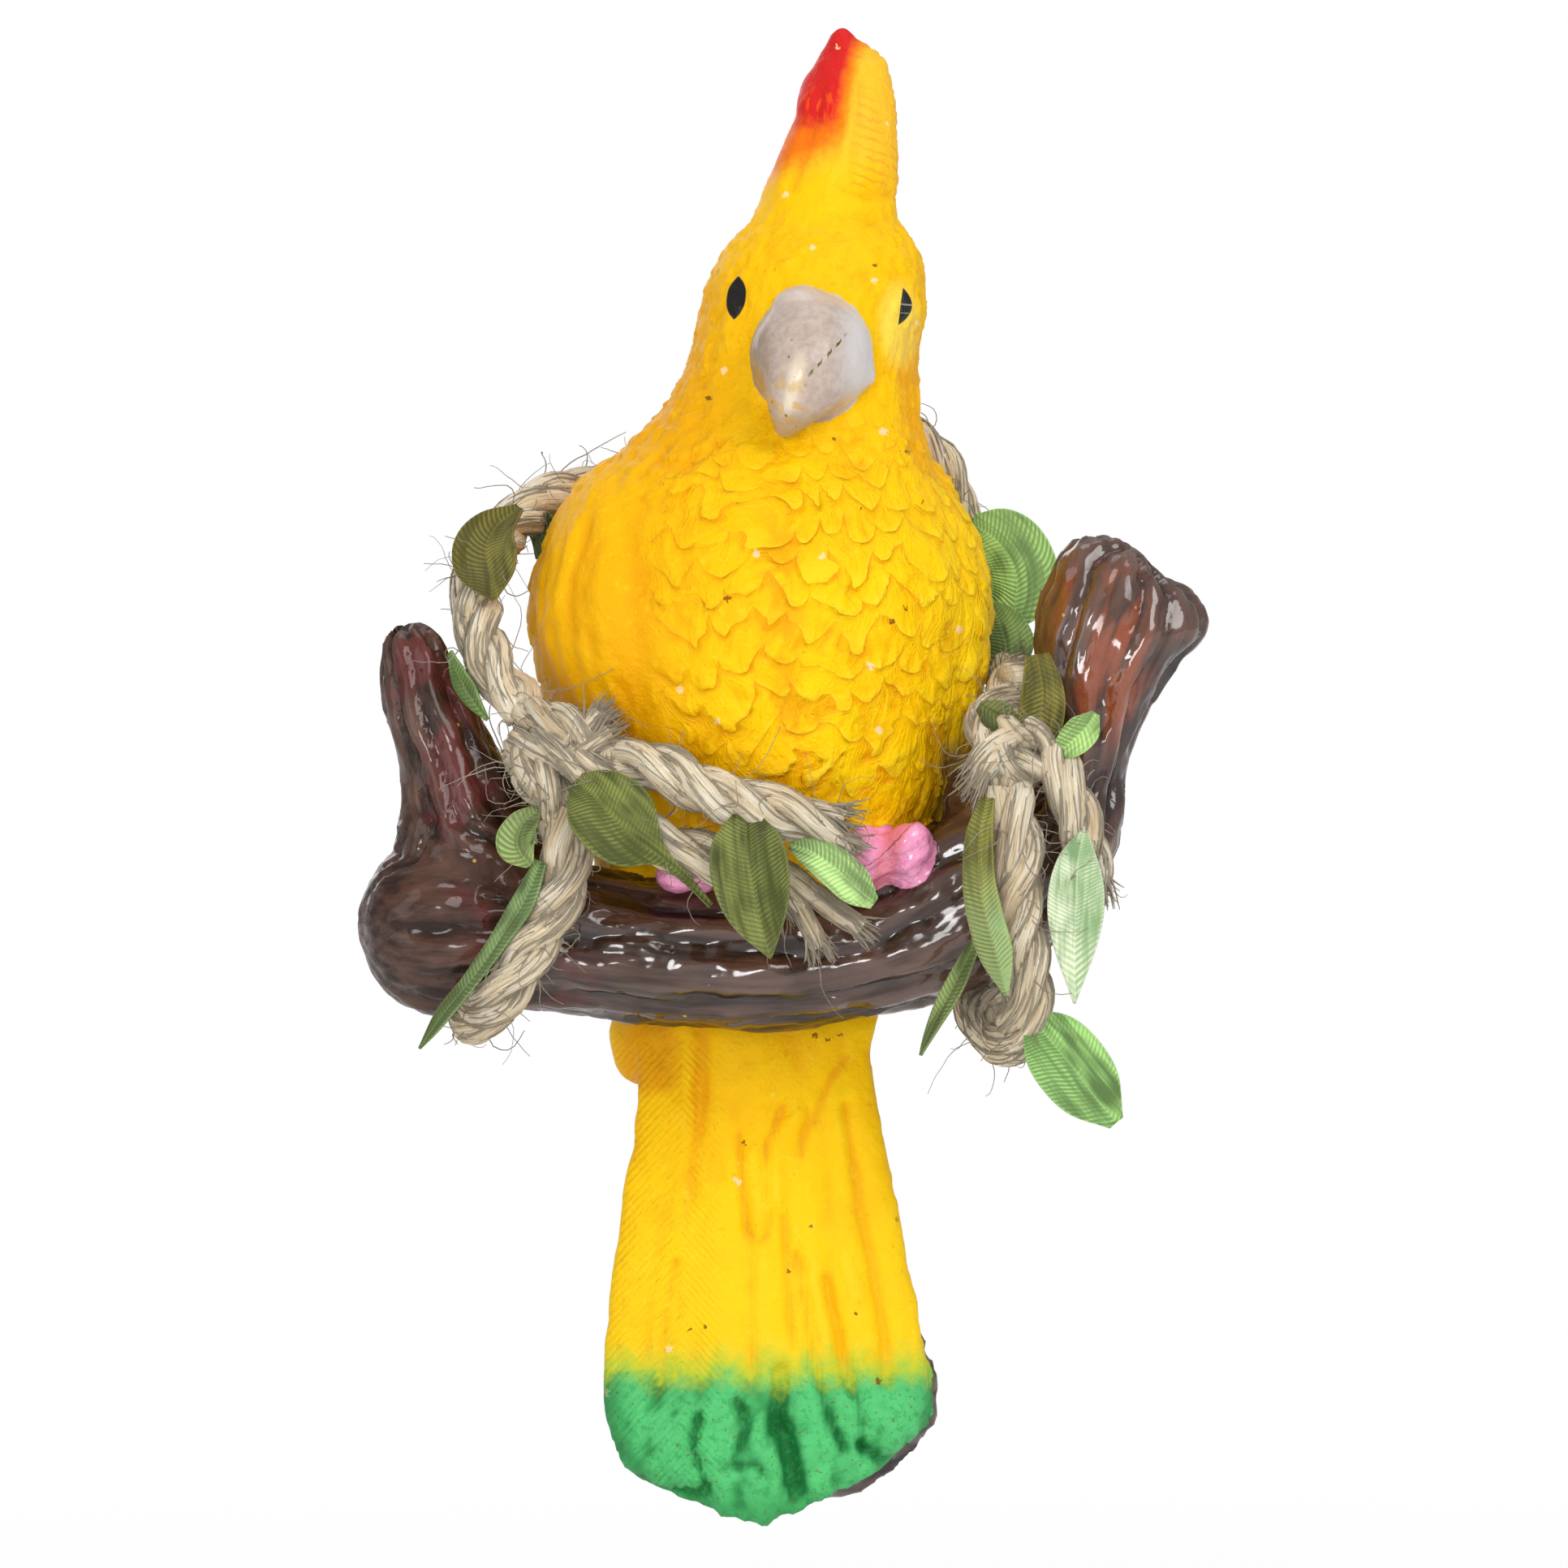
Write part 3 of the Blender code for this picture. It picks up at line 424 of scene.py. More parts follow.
def gather(parts):
    points, faces, grain, start = [], [], [], 0
    for partPoints, partFaces, partGrain in parts:
        points.append(partPoints)
        grain.append(partGrain)
        faces += [tuple(i + start for i in face) for face in partFaces]
        start += len(partPoints)
    return np.concatenate(points), faces, np.concatenate(grain)


def plyParts(middle, radii, rng, place, brush=0):
    # one ply, the fibres that lie on it, and those that fan out past its cut end
    reach = lengthAlong(middle)
    rough = 1 + 0.07 * rng.normal(size=(len(middle), jute["sides"]))
    rough = (rough + np.roll(rough, 1, 0) + np.roll(rough, -1, 0)) / 3
    parts = [tubeSkin(middle, radii[:, None] * rough, jute["sides"], place)]
    along, first, second = carryFrames(middle)
    for fibre in range(int(reach[-1] * jute["fibresPerMm"])):
        start = rng.uniform(0, reach[-1] - 2)
        at = np.linspace(start, min(start + rng.uniform(3, 9), reach[-1]), 7)
        around = rng.uniform(0, 2 * np.pi) + rng.uniform(-0.12, 0.12) * (at - start)
        lift = np.interp(at, reach, radii) * 0.99
        lift += 0.14 * np.sin(np.linspace(0, np.pi, 7)) * rng.uniform(0, 1)
        spot, one, two = (np.stack([np.interp(at, reach, rows[:, i]) for i in range(3)], 1)
                          for rows in (middle, first, second))
        path = spot + lift[:, None] * (np.cos(around)[:, None] * one + np.sin(around)[:, None] * two)
        thin = rng.uniform(0.05, 0.12) * np.array([0.4, 1, 1, 1, 1, 1, 0.4])
        parts.append(tubeSkin(path, thin, 4, rng.uniform(0, 40)))
    for fibre in range(brush):
        angle, share = rng.uniform(0, 2 * np.pi), rng.random() ** 0.5
        out = np.cos(angle) * first[-1] + np.sin(angle) * second[-1]
        path = [middle[-1] - along[-1] * 2.0 + out * share * radii[-1] * 0.9]
        heading = unit(along[-1] + out * share * rng.uniform(0.0, 0.30))
        length = rng.uniform(2.4, 4.4)
        for k in range(6):
            heading = unit(heading + 0.09 * rng.normal(size=3) + out * 0.05 * share)
            path.append(path[-1] + heading * length / 6)
        thin = rng.uniform(0.07, 0.14) * np.array([1, 1, 1, 0.9, 0.8, 0.6, 0.3])
        parts.append(tubeSkin(np.array(path), thin, 4, rng.uniform(0, 40)))
    return parts


def twineParts(line, diameter, seed, frayed=0.0, spread=0.35, brush=0):
    # the three plies; frayed is the share of the length over which they come apart, spread how far
    rng = np.random.default_rng(seed)
    size = diameter / jute["diameter"]
    _, first, second = carryFrames(line)
    reach = lengthAlong(line)
    apart = smoothStep(1 - frayed, 1.0, reach / reach[-1]) if frayed else np.zeros(len(line))
    laid = np.diff(reach) * (1 - 0.9 * apart[1:]) * 2 * np.pi / (jute["pitch"] * size)
    turn = rng.uniform(0, 6) + np.concatenate(([0.0], np.cumsum(laid)))
    parts = []
    for ply in range(jute["plies"]):
        angle = turn + 2 * np.pi * ply / jute["plies"] + 0.25 * np.sin(reach * 0.5 + ply)
        offset = jute["plyOffset"] * size * (1 + 0.12 * np.sin(reach * 0.9 + 2.1 * ply) + spread * apart)
        middle = line + offset[:, None] * (np.cos(angle)[:, None] * first + np.sin(angle)[:, None] * second)
        radii = jute["plyRadius"] * size * (1 - 0.35 * apart)
        kept = len(line) - (int(rng.integers(0, 4)) if brush else 0)
        parts += plyParts(middle[:kept], radii[:kept], rng, 5.0 * ply + seed, brush)
    return parts


def strayHairs(line, diameter, number, seed):
    # fibres that have come loose and curl away
    rng = np.random.default_rng(seed)
    along, first, second = carryFrames(line)
    parts = []
    for hair in range(number):
        i = rng.integers(1, len(line) - 1)
        angle = rng.uniform(0, 2 * np.pi)
        out = np.cos(angle) * first[i] + np.sin(angle) * second[i]
        place = line[i] + out * diameter * 0.40
        heading = unit(out * rng.uniform(0.2, 0.9) + along[i] * rng.choice((-1, 1)) * rng.uniform(0.4, 1.2))
        length = 2.0 + (jute["longestHair"] - 2.0) * rng.random() ** 2.2
        bend = unit(rng.normal(size=3)) * rng.uniform(0.1, 0.45)
        path = [place]
        for k in range(9):
            heading = unit(heading + np.cross(bend, heading) + 0.16 * rng.normal(size=3))
            path.append(path[-1] + heading * length / 9)
        radius = rng.uniform(0.045, 0.085)
        parts.append(tubeSkin(np.array(path), np.linspace(radius, radius * 0.5, 10), 3, rng.uniform(0, 40)))
    return parts


fullness = {"twine_tail_right": 0.86}    # share of the diameter, where it isn't 0.97
frayedEnds = {
    # share of the length that comes apart, how wide, fibres past each ply's cut end
    "twine_tail_left_long": (0.35, 0.25, 46), "twine_tail_left_short": (0.3, 0.1, 0),
    "twine_tail_right": (0.3, 0.2, 46)}
looseStrands = {
    "twine_tail_left_short": {
        "from": 0.62, "radius": 1.12, "brush": 40,
        "lines": (((-1.6, -17.2, 7.4), (1.4, -17, 6.2), (3.2, -16.8, 3.9), (4.4, -16.6, 1.6),
                   (5.2, -16.3, -0.2)),
                  ((-1, -17.6, 7.8), (2.4, -17.5, 6.6), (4.8, -17.2, 4.6), (6.8, -16.9, 3), (9, -16.4, 1.6)),
                  ((-1.2, -16.4, 6.6), (1.6, -16.2, 5), (3, -16, 3.4)))},
}


def makeTwine():
    made = {}
    for number, (name, route) in enumerate(routes.items()):
        line = lineThrough(route, jute["step"])
        loose = looseStrands.get(name)
        thick = jute["diameter"] * fullness.get(name, 0.97)
        laid = twineParts(line[:int(len(line) * (loose["from"] if loose else 1.0))], thick, 10 + number,
                          *frayedEnds.get(name, ()))
        for strand in loose["lines"] if loose else ():
            strand = lineThrough(strand, jute["step"])
            taper = loose["radius"] * np.linspace(1.0, 0.8, len(strand))
            laid += plyParts(strand, taper, np.random.default_rng(len(laid)), 3.0, loose["brush"])
        made[name] = meshFrom(name + "_plies", *gather(laid))
    print("twine laid:", sum(len(p.data.polygons) for p in made.values()), "faces")
    return made


knots = {
    "knot_left": {
        "turns": (((-21.6, -12.6, 21.2), (-19.4, -15.6, 20.6), (-16.4, -17.6, 19.2), (-14.9, -17.4, 17),
                   (-16, -16.2, 14.6), (-18.6, -14, 14), (-20.9, -12.2, 14.9), (-22, -11.6, 16.9),
                   (-21.4, -14.4, 18.4), (-18.6, -17.4, 17.6), (-15.4, -18.4, 16), (-13.6, -17.4, 15.8)),
                  ((-22, -12.8, 18.6), (-21.2, -15.6, 16.4), (-19.4, -17.2, 14.2), (-18.4, -17, 12))),
        "diameter": 3.9,
        "tufts": (((-18.6, -16.6, 17), (-17.2, -17.8, 18.6), (-15.8, -18, 20), (-14.8, -17.8, 21)),
                  ((-18, -17, 16.2), (-16.6, -18.4, 17.6), (-15.2, -18.6, 18.6), (-14, -18.4, 19.4)))},
    "knot_right": {
        "turns": (((22.9, -7.2, 22.4), (21.8, -9.6, 22), (20.6, -12.4, 20.6), (20.9, -14.6, 18.6),
                   (22.6, -15, 16.6), (25, -13.4, 16), (26, -11, 17.4), (25.6, -9.6, 19.8),
                   (23.6, -11.6, 21.4), (21.4, -13.6, 19.8), (21.6, -14.6, 16.6), (22.2, -14.6, 14.2)),
                  ((22, -14.2, 20.4), (23.8, -14.4, 19.8), (25.4, -13.6, 18.9), (26.6, -13.1, 17.8))),
        "diameter": 3.7,
        "tufts": (((22.2, -14.8, 18.2), (21, -15.8, 16.8), (20.1, -16, 15.4), (19.5, -15.8, 14.4)),
                  ((22.6, -15, 19), (21.2, -15.8, 18.2), (20.2, -15.9, 17.2), (19.4, -15.6, 16)))},
}


def makeKnots():
    made = {}
    for number, (name, knot) in enumerate(knots.items()):
        parts = []
        for turn, route in enumerate(knot["turns"]):
            parts += twineParts(lineThrough(route, jute["step"]), knot["diameter"], 30 + 5 * number + turn)
        for turn, route in enumerate(knot["tufts"]):
            strand = lineThrough(route, jute["step"])
            taper = np.linspace(1.25, 0.9, len(strand))
            parts += plyParts(strand, taper, np.random.default_rng(50 + turn), 7.0 + turn, 55)
        made[name] = meshFrom(name + "_turns", *gather(parts))
    print("knots tied")
    return made


# satin leaves: ribbon cut to a point
leaves = {
    # line from root to tip, half widths along it, the way it faces, how hollow it is as a share of
    # its width, its colour as a screen shows it and its tip's, where that differs
    # each leaf's colour is taken as it looks where it hangs, so it holds painted light and shade as well as
    # the satin's own tone
    "leaf_shoulder_left": {
        "line": ((-22.6, -5.4, 40.4), (-24.8, -6.6, 38.6), (-25.7, -7.6, 36.4), (-25.3, -8.5, 34),
                 (-24.9, -9, 31.8)),
        "half": (0.5, 2.2, 3.1, 2.6, 0.3), "facing": (-0.25, -0.85, 0.45), "hollow": 0.5,
        "colour": (98, 92, 26)},
    "leaf_shoulder_behind": {
        "line": ((-20.7, 3.4, 40.2), (-20.5, 3.6, 38.9), (-20.6, 3.8, 37.5), (-21.2, 4, 35.8)),
        "half": (0.7, 1.4, 1.4, 0.2), "facing": (-0.4, -0.9, 0), "hollow": 0.2, "colour": (70, 92, 44)},
    "leaf_edge_left": {
        "line": ((-28.9, -9.6, 26.9), (-28.2, -10.4, 25), (-27, -11.2, 22.9), (-25.4, -11.9, 20.6)),
        "half": (0.3, 0.8, 1, 0.15), "facing": (-0.6, -0.8, 0), "hollow": 0.3, "colour": (104, 132, 66)},
    "leaf_knot_left": {
        "line": ((-20.6, -17.4, 12.4), (-22, -18.2, 10.9), (-22.4, -18.6, 9), (-21.2, -18.4, 7.2)),
        "half": (0.5, 1.5, 1.9, 0.4), "facing": (-0.2, -0.97, 0), "hollow": 0.4, "colour": (132, 152, 86)},
    "leaf_wrap_left": {
        "line": ((-20.2, -18.4, 7.6), (-21.8, -18.4, 4), (-24.2, -18, 0.2), (-27, -16.9, -3.6),
                 (-29.4, -15.9, -6.6), (-31.5, -15, -9.6)),
        "half": (0.7, 1.2, 0.9, 0.8, 0.8, 0.1), "facing": (-0.55, -0.83, 0), "hollow": 0.25,
        "colour": (112, 136, 80), "tip": (74, 86, 36)},
    "leaf_knot_front": {
        "line": ((-17, -19.6, 15), (-15.6, -20.8, 13.8), (-13.8, -21.6, 11.9), (-11.7, -21.6, 9.8),
                 (-9.2, -21, 8), (-6.9, -20.2, 6), (-4.7, -19.4, 3.6)),
        "half": (0.8, 2.9, 3.8, 3.2, 0.8, 0.45, 0.25), "facing": (0.05, -0.97, 0.2), "hollow": 0.5,
        "colour": (100, 108, 40)},
    "leaf_tail_hanging": {
        "line": ((-1.5, -20.8, 11.8), (-1.4, -22.6, 9.2), (-1, -23, 6), (-0.3, -22.9, 2.6),
                 (0.8, -22.4, -1.2)),
        "half": (1.2, 3.2, 3.5, 2.6, 0.1), "facing": (0, -1, 0), "hollow": 0.7, "colour": (100, 108, 44)},
    "leaf_tail_end": {
        "line": ((2.6, -19.2, 9.2), (4.6, -20.2, 8.4), (6.8, -20.6, 6.9), (8.6, -20.2, 5.2),
                 (10.2, -19.6, 3.8)),
        "half": (0.5, 1.5, 1.9, 1.7, 0.6), "facing": (0.05, -0.95, 0.3), "hollow": 0.35,
        "colour": (160, 196, 118)},
    "leaf_right_upper": {
        "line": ((19.6, 10, 39.4), (21.8, 10.2, 38), (23.5, 10.4, 35.8), (24, 10.4, 32.9),
                 (23.1, 10.2, 29.8)),
        "half": (1, 3.4, 4.1, 3.8, 1.2), "facing": (0, -1, 0.1), "hollow": -0.5, "colour": (146, 186, 104)},
    "leaf_right_middle": {
        "line": ((21.4, 6.6, 31.6), (22.4, 6.4, 29.6), (22.9, 5.6, 27.4), (22.9, 3.6, 24.6)),
        "half": (0.8, 2.4, 2.6, 0.3), "facing": (0.1, -1, 0), "hollow": -0.3, "colour": (112, 140, 72)},
    "leaf_knot_up": {
        "line": ((25.2, -14.6, 18.6), (25.6, -15.2, 21), (25.7, -15.4, 23.6), (25.2, -15.2, 26.6)),
        "half": (1.8, 2.1, 1.9, 1.1), "facing": (0.1, -1, 0), "hollow": 0.5, "colour": (110, 104, 30)},
    "leaf_knot_side": {
        "line": ((26.6, -14.6, 17.2), (28.2, -15.3, 18.4), (29.6, -15.5, 19.8), (30.6, -15.2, 21.2)),
        "half": (0.4, 1.4, 1.5, 0.4), "facing": (0, -1, 0.2), "hollow": 0.3, "colour": (148, 184, 104)},
    "leaf_knot_behind": {
        "line": ((23.4, -15, 20), (22.3, -15.6, 20.6), (21.1, -15.7, 21.2), (19.9, -15.2, 21.9)),
        "half": (0.5, 1.3, 1.4, 0.5), "facing": (-0.2, -1, 0), "hollow": 0.2, "colour": (92, 100, 46)},
    "leaf_loop_long": {
        "line": ((20.6, -17, 13.4), (19.9, -18.2, 10), (19.8, -19.2, 6.2), (20.4, -19.8, 2.6),
                 (21.4, -20, -1), (22.3, -19.6, -4.6)),
        "half": (0.7, 1.3, 1.5, 1.7, 1.6, 0.2), "facing": (-0.3, -0.95, 0), "hollow": 0.5,
        "colour": (122, 122, 50), "tip": (176, 212, 146)},
    "leaf_loop_low": {
        "line": ((20.4, -16.4, 1.6), (18.9, -16.6, -1.2), (17.2, -16.6, -4.6), (15.6, -16.2, -7.6),
                 (14.5, -15.6, -10.2)),
        "half": (0.5, 0.8, 1, 0.7, 0.1), "facing": (-0.6, -0.8, 0.1), "hollow": 0.2,
        "colour": (112, 130, 70)},
    "leaf_tail_right": {
        "line": ((29.5, -16.9, 10.4), (28.9, -17.8, 7.6), (28.7, -18.3, 4.2), (28.6, -18.1, 0.4),
                 (28.6, -17.4, -5.4)),
        "half": (0.3, 1.9, 2.6, 2.1, 0.1), "facing": (0, -1, 0), "hollow": 0.45, "colour": (192, 238, 168)},
    "leaf_loop_end": {
        "line": ((24.6, -14.6, -6.8), (26.3, -15.4, -8.6), (28.2, -15.9, -11), (30.3, -15.8, -13.7),
                 (32.5, -15.2, -16.4)),
        "half": (0.9, 2.8, 3.4, 2.9, 0.8), "facing": (0, -1, 0.05), "hollow": 0.45,
        "colour": (136, 180, 100)},
}


ribbon = {"rows": 28, "columns": 13, "thickness": 0.28, "ribPitch": 0.37}


def makeLeaf(name, leaf):
    rows, columns = ribbon["rows"], ribbon["columns"]
    knotsAt = np.linspace(0, 1, len(leaf["line"]))
    at = np.linspace(0, 1, rows)
    line = curveThrough(knotsAt, leaf["line"], at)
    half = curveThrough(knotsAt, np.array(leaf["half"])[:, None], at)[:, 0]
    along = unit(np.gradient(line, axis=0))
    across = unit(np.cross(along, np.asarray(leaf["facing"], float)))
    out = np.cross(across, along)
    c = np.linspace(-1, 1, columns)
    hollow = leaf["hollow"] * half[:, None] * 0.5
    rise = (hollow * (np.abs(c)[None] ** 1.15 - 0.4) + 0.10 * np.sin(9 * at + 4)[:, None] * c[None]
            + 0.05 * np.sin(17 * at + sum(leaf["colour"]))[:, None] * np.abs(c)[None])
    points = (line[:, None] + across[:, None] * (half[:, None] * c[None])[:, :, None]
              + out[:, None] * rise[:, :, None]).reshape(-1, 3)
    length = np.linalg.norm(np.diff(line, axis=0), axis=1).sum()
    grain = np.stack([np.repeat(at * length, columns), (half[:, None] * c[None]).ravel(),
                      np.tile(np.abs(c), rows)], axis=1)
    faces = [(r * columns + k, r * columns + k + 1, (r + 1) * columns + k + 1, (r + 1) * columns + k)
             for r in range(rows - 1) for k in range(columns - 1)]
    piece = meshFrom(name + "_ribbon", points, faces, grain)
    applyModifier(piece, "SOLIDIFY", thickness=ribbon["thickness"] * mm, offset=0.0, use_even_offset=True)
    return piece


def satinFinish(name, colour, tip=None):
    finish = Finish(name, {"Sheen Weight": 0.05, "Specular IOR Level": 0.25})
    grain = finish.attribute("grain")
    s, w, edge = finish.apart(grain)
    shift = sum(colour) * 0.37
    bend = finish.noise(finish.stretch(grain, (0.2, 0.3, 0.0), (shift, 0.0, 0.0)), 1.0, 1.0)
    rib = ((s * 0.86 + w.size() * 0.46 + bend * 0.9) * (2 * math.pi / ribbon["ribPitch"])).sine() * 0.5 + 0.5
    streak = finish.noise(finish.stretch(grain, (0.14, 1.5, 0.0), (shift, 3.0, 0.0)), 1.0, 3.0, 0.6)
    patch = finish.noise(finish.stretch(grain, (0.26, 0.34, 0.0), (3.0, shift, 0.0)), 1.0, 1.0)
    base = tone(*colour)
    dark, light = tuple(c * 0.45 for c in base), tuple(min(1.0, c * 1.7 + 0.02) for c in base)
    pale = tuple(min(1.0, c * 2.0 + 0.05) for c in base)
    # painted satin sheen: lighter and darker tones in streaks and patches along the leaf
    satin = finish.blend((streak * 0.5 + patch * 0.5).step(0.36, 0.64), dark, light)
    if tip:
        satin = finish.blend(s.step(5.0, 14.0) * 0.75, satin, tone(*tip))
    # one half of the leaf lies in shade
    half = w.step(-0.25, 0.25) if shift % 1 > 0.5 else 1.0 - w.step(-0.25, 0.25)
    ribbed = patch.step(0.40, 0.56) * 0.7 + half * 0.3
    # painted shade in the rib valleys and painted highlight on the rib crests; the midline and edges paler
    satin = finish.coats(satin, (half * 0.5, tuple(c * 0.6 for c in base)),
                         (rib.step(0.55, 0.1) * ribbed * 0.6, dark),
                         (rib.step(0.6, 1.0) * ribbed * streak.step(0.4, 0.6) * 0.4, pale),
                         (w.size().step(0.12, 0.02) * 0.3, light), (edge.step(0.92, 1.0) * 0.4, pale))
    finish.feed(Base_Color=satin, Roughness=streak * 0.25 + 0.26,
                Normal=finish.bump(rib * 0.8 + streak * 0.6, 0.00009))
    return finish.material


def juteFinish():
    finish = Finish("jute", {"Roughness": 0.85, "Sheen Weight": 0.2})
    grain = finish.attribute("grain")
    fibres = finish.noise(finish.stretch(grain, (0.3, 7.0, 7.0)), 1.0, 4.0, 0.6)
    patches = finish.noise(finish.stretch(grain, (0.18, 0.5, 0.5)), 1.0, 2.0)
    # jute colour in patches, with painted shade where the fibre bump dips and painted highlight, near white,
    # on its crests
    base = finish.node("ValToRGB", {"stops": ((0.26, tone(118, 86, 50)), (0.40, tone(203, 174, 131)),
                                              (0.54, tone(236, 219, 186)), (0.70, tone(255, 250, 234)))},
                       {0: fibres * 0.72 + patches * 0.34})
    finish.feed(Base_Color=base, Normal=finish.bump(fibres, 0.0004))
    return finish.material


def makeLooseFibres():
    parts = []
    for number, route in enumerate(routes.values()):
        line = lineThrough(route, 1.0)
        parts += strayHairs(line, jute["diameter"], int(len(line) * jute["hairsPerMm"]), 60 + number)
    for number, knot in enumerate(knots.values()):
        for route in knot["turns"]:
            parts += strayHairs(lineThrough(route, 1.0), knot["diameter"], jute["hairsOnTurn"], 80 + number)
    print("loose fibres:", len(parts))
    return meshFrom("twine_loose_fibres", *gather(parts))


def makeLeaves():
    made = {}
    for name, leaf in leaves.items():
        made[name] = makeLeaf(name, leaf)
        satin = satinFinish(name + "_satin", leaf["colour"], leaf.get("tip"))
        finishPiece(made[name], satin, [name])
    print("leaves cut:", len(made))
    return made


cordPieces = {**makeTwine(), **makeKnots()}
softPieces = {**cordPieces, **makeLeaves()}
juteMaterial = juteFinish()
for cordName, cordPiece in cordPieces.items():
    finishPiece(cordPiece, juteMaterial, [cordName])
finishPiece(makeLooseFibres(), juteMaterial, [])

carried = {
    # the knots, free ends and leaves that go with each cord
    "twine_hanger": ("knot_left", "knot_right", "leaf_shoulder_left", "leaf_shoulder_behind",
                     "leaf_edge_left", "leaf_right_upper", "leaf_right_middle"),
    "twine_wrap_left": ("leaf_knot_left", "leaf_wrap_left", "leaf_knot_front", "twine_tail_left_long",
                        "twine_tail_left_short", "leaf_tail_hanging", "leaf_tail_end"),
    "twine_loop_right": ("leaf_knot_up", "leaf_knot_side", "leaf_knot_behind", "leaf_loop_long",
                         "leaf_loop_low", "leaf_loop_end", "leaf_tail_right", "twine_tail_right"),
}


def routeLength(name):
    line = lineThrough(routes[name], 0.2)
    return np.linalg.norm(np.diff(line, axis=0), axis=1).sum() * mm


def declareCord(name):
    path = toWorld(lineThrough(routes[name], 1.0))
    routeLength(name)


# the painted casting: each table holds the sections that one of its forms runs through
birdRows = (
    # height, middle x, half width, middle y, half depth
    (-14, -0.5, 10.85, 7.4, 5.25), (-6, -0.25, 12.26, 8, 6.99), (2, 0, 14.5, 5.25, 12.22),
    (11, 0.55, 17.06, 2.5, 16.46), (20, 0.25, 19.75, 0.75, 19.21), (29.6, -0.3, 21.7, -0.25, 20.2),
    (36, -0.15, 20.85, -0.5, 18.95), (42.6, 0.25, 17.56, -0.5, 15.96), (48.6, 2.85, 12.35, 0, 13),
    (54.7, 4.4, 10.6, 0.25, 12.26), (60.8, 5.25, 10.05, 0.25, 11.75), (64.6, 5.7, 9, 0.6, 10),
    (67.6, 5.8, 6.8, 0.9, 7.6), (71.1, 6.5, 6.1, 1, 6.3), (73.7, 7.1, 5.6, 1, 5.7),
    (76.8, 7.75, 4.8, 1.4, 5), (79.8, 7.75, 4.35, 2.1, 4.2), (82.3, 8.05, 3.2, 2.7, 3),
    (84, 7.8, 1.9, 3, 1.9), (85.1, 7.45, 0.7, 3, 0.7),
)
wingRows = (
    # height, front edge and back edge in degrees from the breast's middle
    (45, 88, 108), (42, 66, 134), (37, 56, 148), (30, 52, 156), (22, 53, 161), (14, 60, 165), (7, 70, 168),
    (1, 82, 168), (-5, 98, 164), (-10, 112, 156), (-13, 124, 146),
)
plumes = {"pitch": 12.0, "from": 13.0, "rowAtFoot": 3.7, "rowAtNeck": 2.3, "upTo": 50.0, "round": 0.6,
          "lip": 0.42, "turn": 16.0}
wings = {"lift": 1.0, "tipLift": 2.4, "rootDepth": 1.6, "feathers": 5, "step": 0.5}
branchRows = (
    # upper edge (x, z), lower edge (x, z), half depth
    (-37.6, 2.9, -37.5, 0.3, 1.2), (-37, 4.4, -36.9, -1.6, 3.4), (-35.6, 7.4, -35.3, -4.4, 6),
    (-31.6, 9.6, -30.8, -6.7, 8), (-26.4, 9, -25.9, -6.4, 7.9), (-20.9, 7.8, -21.6, -6.2, 7.1),
    (-13.5, 6.3, -13.9, -7, 6.8), (-6.8, 5.3, -6.8, -7.7, 6.6), (0, 5, 0, -8, 6.5), (6, 5.6, 6.1, -7.4, 6.5),
    (11.6, 7.4, 12.8, -6.1, 6.7), (15.8, 10.8, 19.2, -4.4, 7.4), (20.2, 13, 26, -0.6, 7.2),
    (23.8, 14.9, 31.2, 5.2, 6), (26.6, 18, 34, 12.6, 4.6), (26.6, 22.4, 35.6, 18.6, 4.5),
    (25.4, 27, 38, 23.2, 5.4), (26, 31.6, 40.6, 27, 5.6), (27.6, 35.6, 41, 30, 4.8),
    (29.6, 37.9, 39.8, 32.6, 3), (31.2, 38.2, 38.4, 33.8, 1.2),
)
stubRows = (
    (-34.6, 4, -18.4, 4, 6.4), (-34.4, 8.6, -19.6, 8.2, 6.2), (-33.2, 12.6, -22, 12.2, 5.4),
    (-33.6, 16.4, -24, 16.4, 4.7), (-34.7, 20.6, -26.4, 20.8, 4.1), (-35.2, 25, -28.7, 25.3, 3.4),
    (-35, 28, -30.4, 28.3, 2.3), (-34.2, 29.3, -31.6, 29.4, 1),
)
tailRows = (
    # height, left edge, right edge
    (1, -10.5, 10), (-7, -12.9, 11), (-10, -12, 10.1), (-14.4, -11.7, 10.6), (-20, -12.5, 11.6),
    (-26, -13.4, 12.8), (-32, -14.2, 14), (-38, -14.8, 15), (-42, -15, 15.7), (-45, -14.7, 15.6),
    (-48, -13.7, 14.3), (-50.5, -11.7, 11.8), (-52.2, -8, 7), (-53.5, -4.8, 3.6), (-54.3, -1.6, 0.8),
)
beakSpine = (
    # place of the middle and radius, from inside the face to the hooked tip
    (4.7, -8.1, 54.9, 4.9), (4.6, -11, 54.6, 5.4), (4.5, -13.3, 54.1, 5.75), (4.2, -15.5, 53.1, 5.25),
    (3.7, -16.9, 51.6, 4.2), (2.95, -17.4, 49.5, 2.9), (2.2, -17, 47.7, 1.6), (1.85, -16.5, 46.5, 0.6),
)
toeLumps = (
    # middle and size
    ((-7.9, -11.6, 6.4), (3.4, 4.6, 3.6)), ((-5.4, -11.4, 6.6), (3.2, 4.6, 3.6)),
    ((-6.7, -9.4, 7), (5, 5, 3)), ((9.7, -11.4, 7.8), (3.9, 4.8, 5.4)), ((13.4, -11.8, 8.2), (4.7, 4.4, 6)),
    ((11.8, -10, 8), (6.4, 5, 4.8)),
)


branchMiddleY = -6.0
castingMesh = {"voxel": 0.475, "smoothing": 5, "sections": 72, "wingLevels": 34}


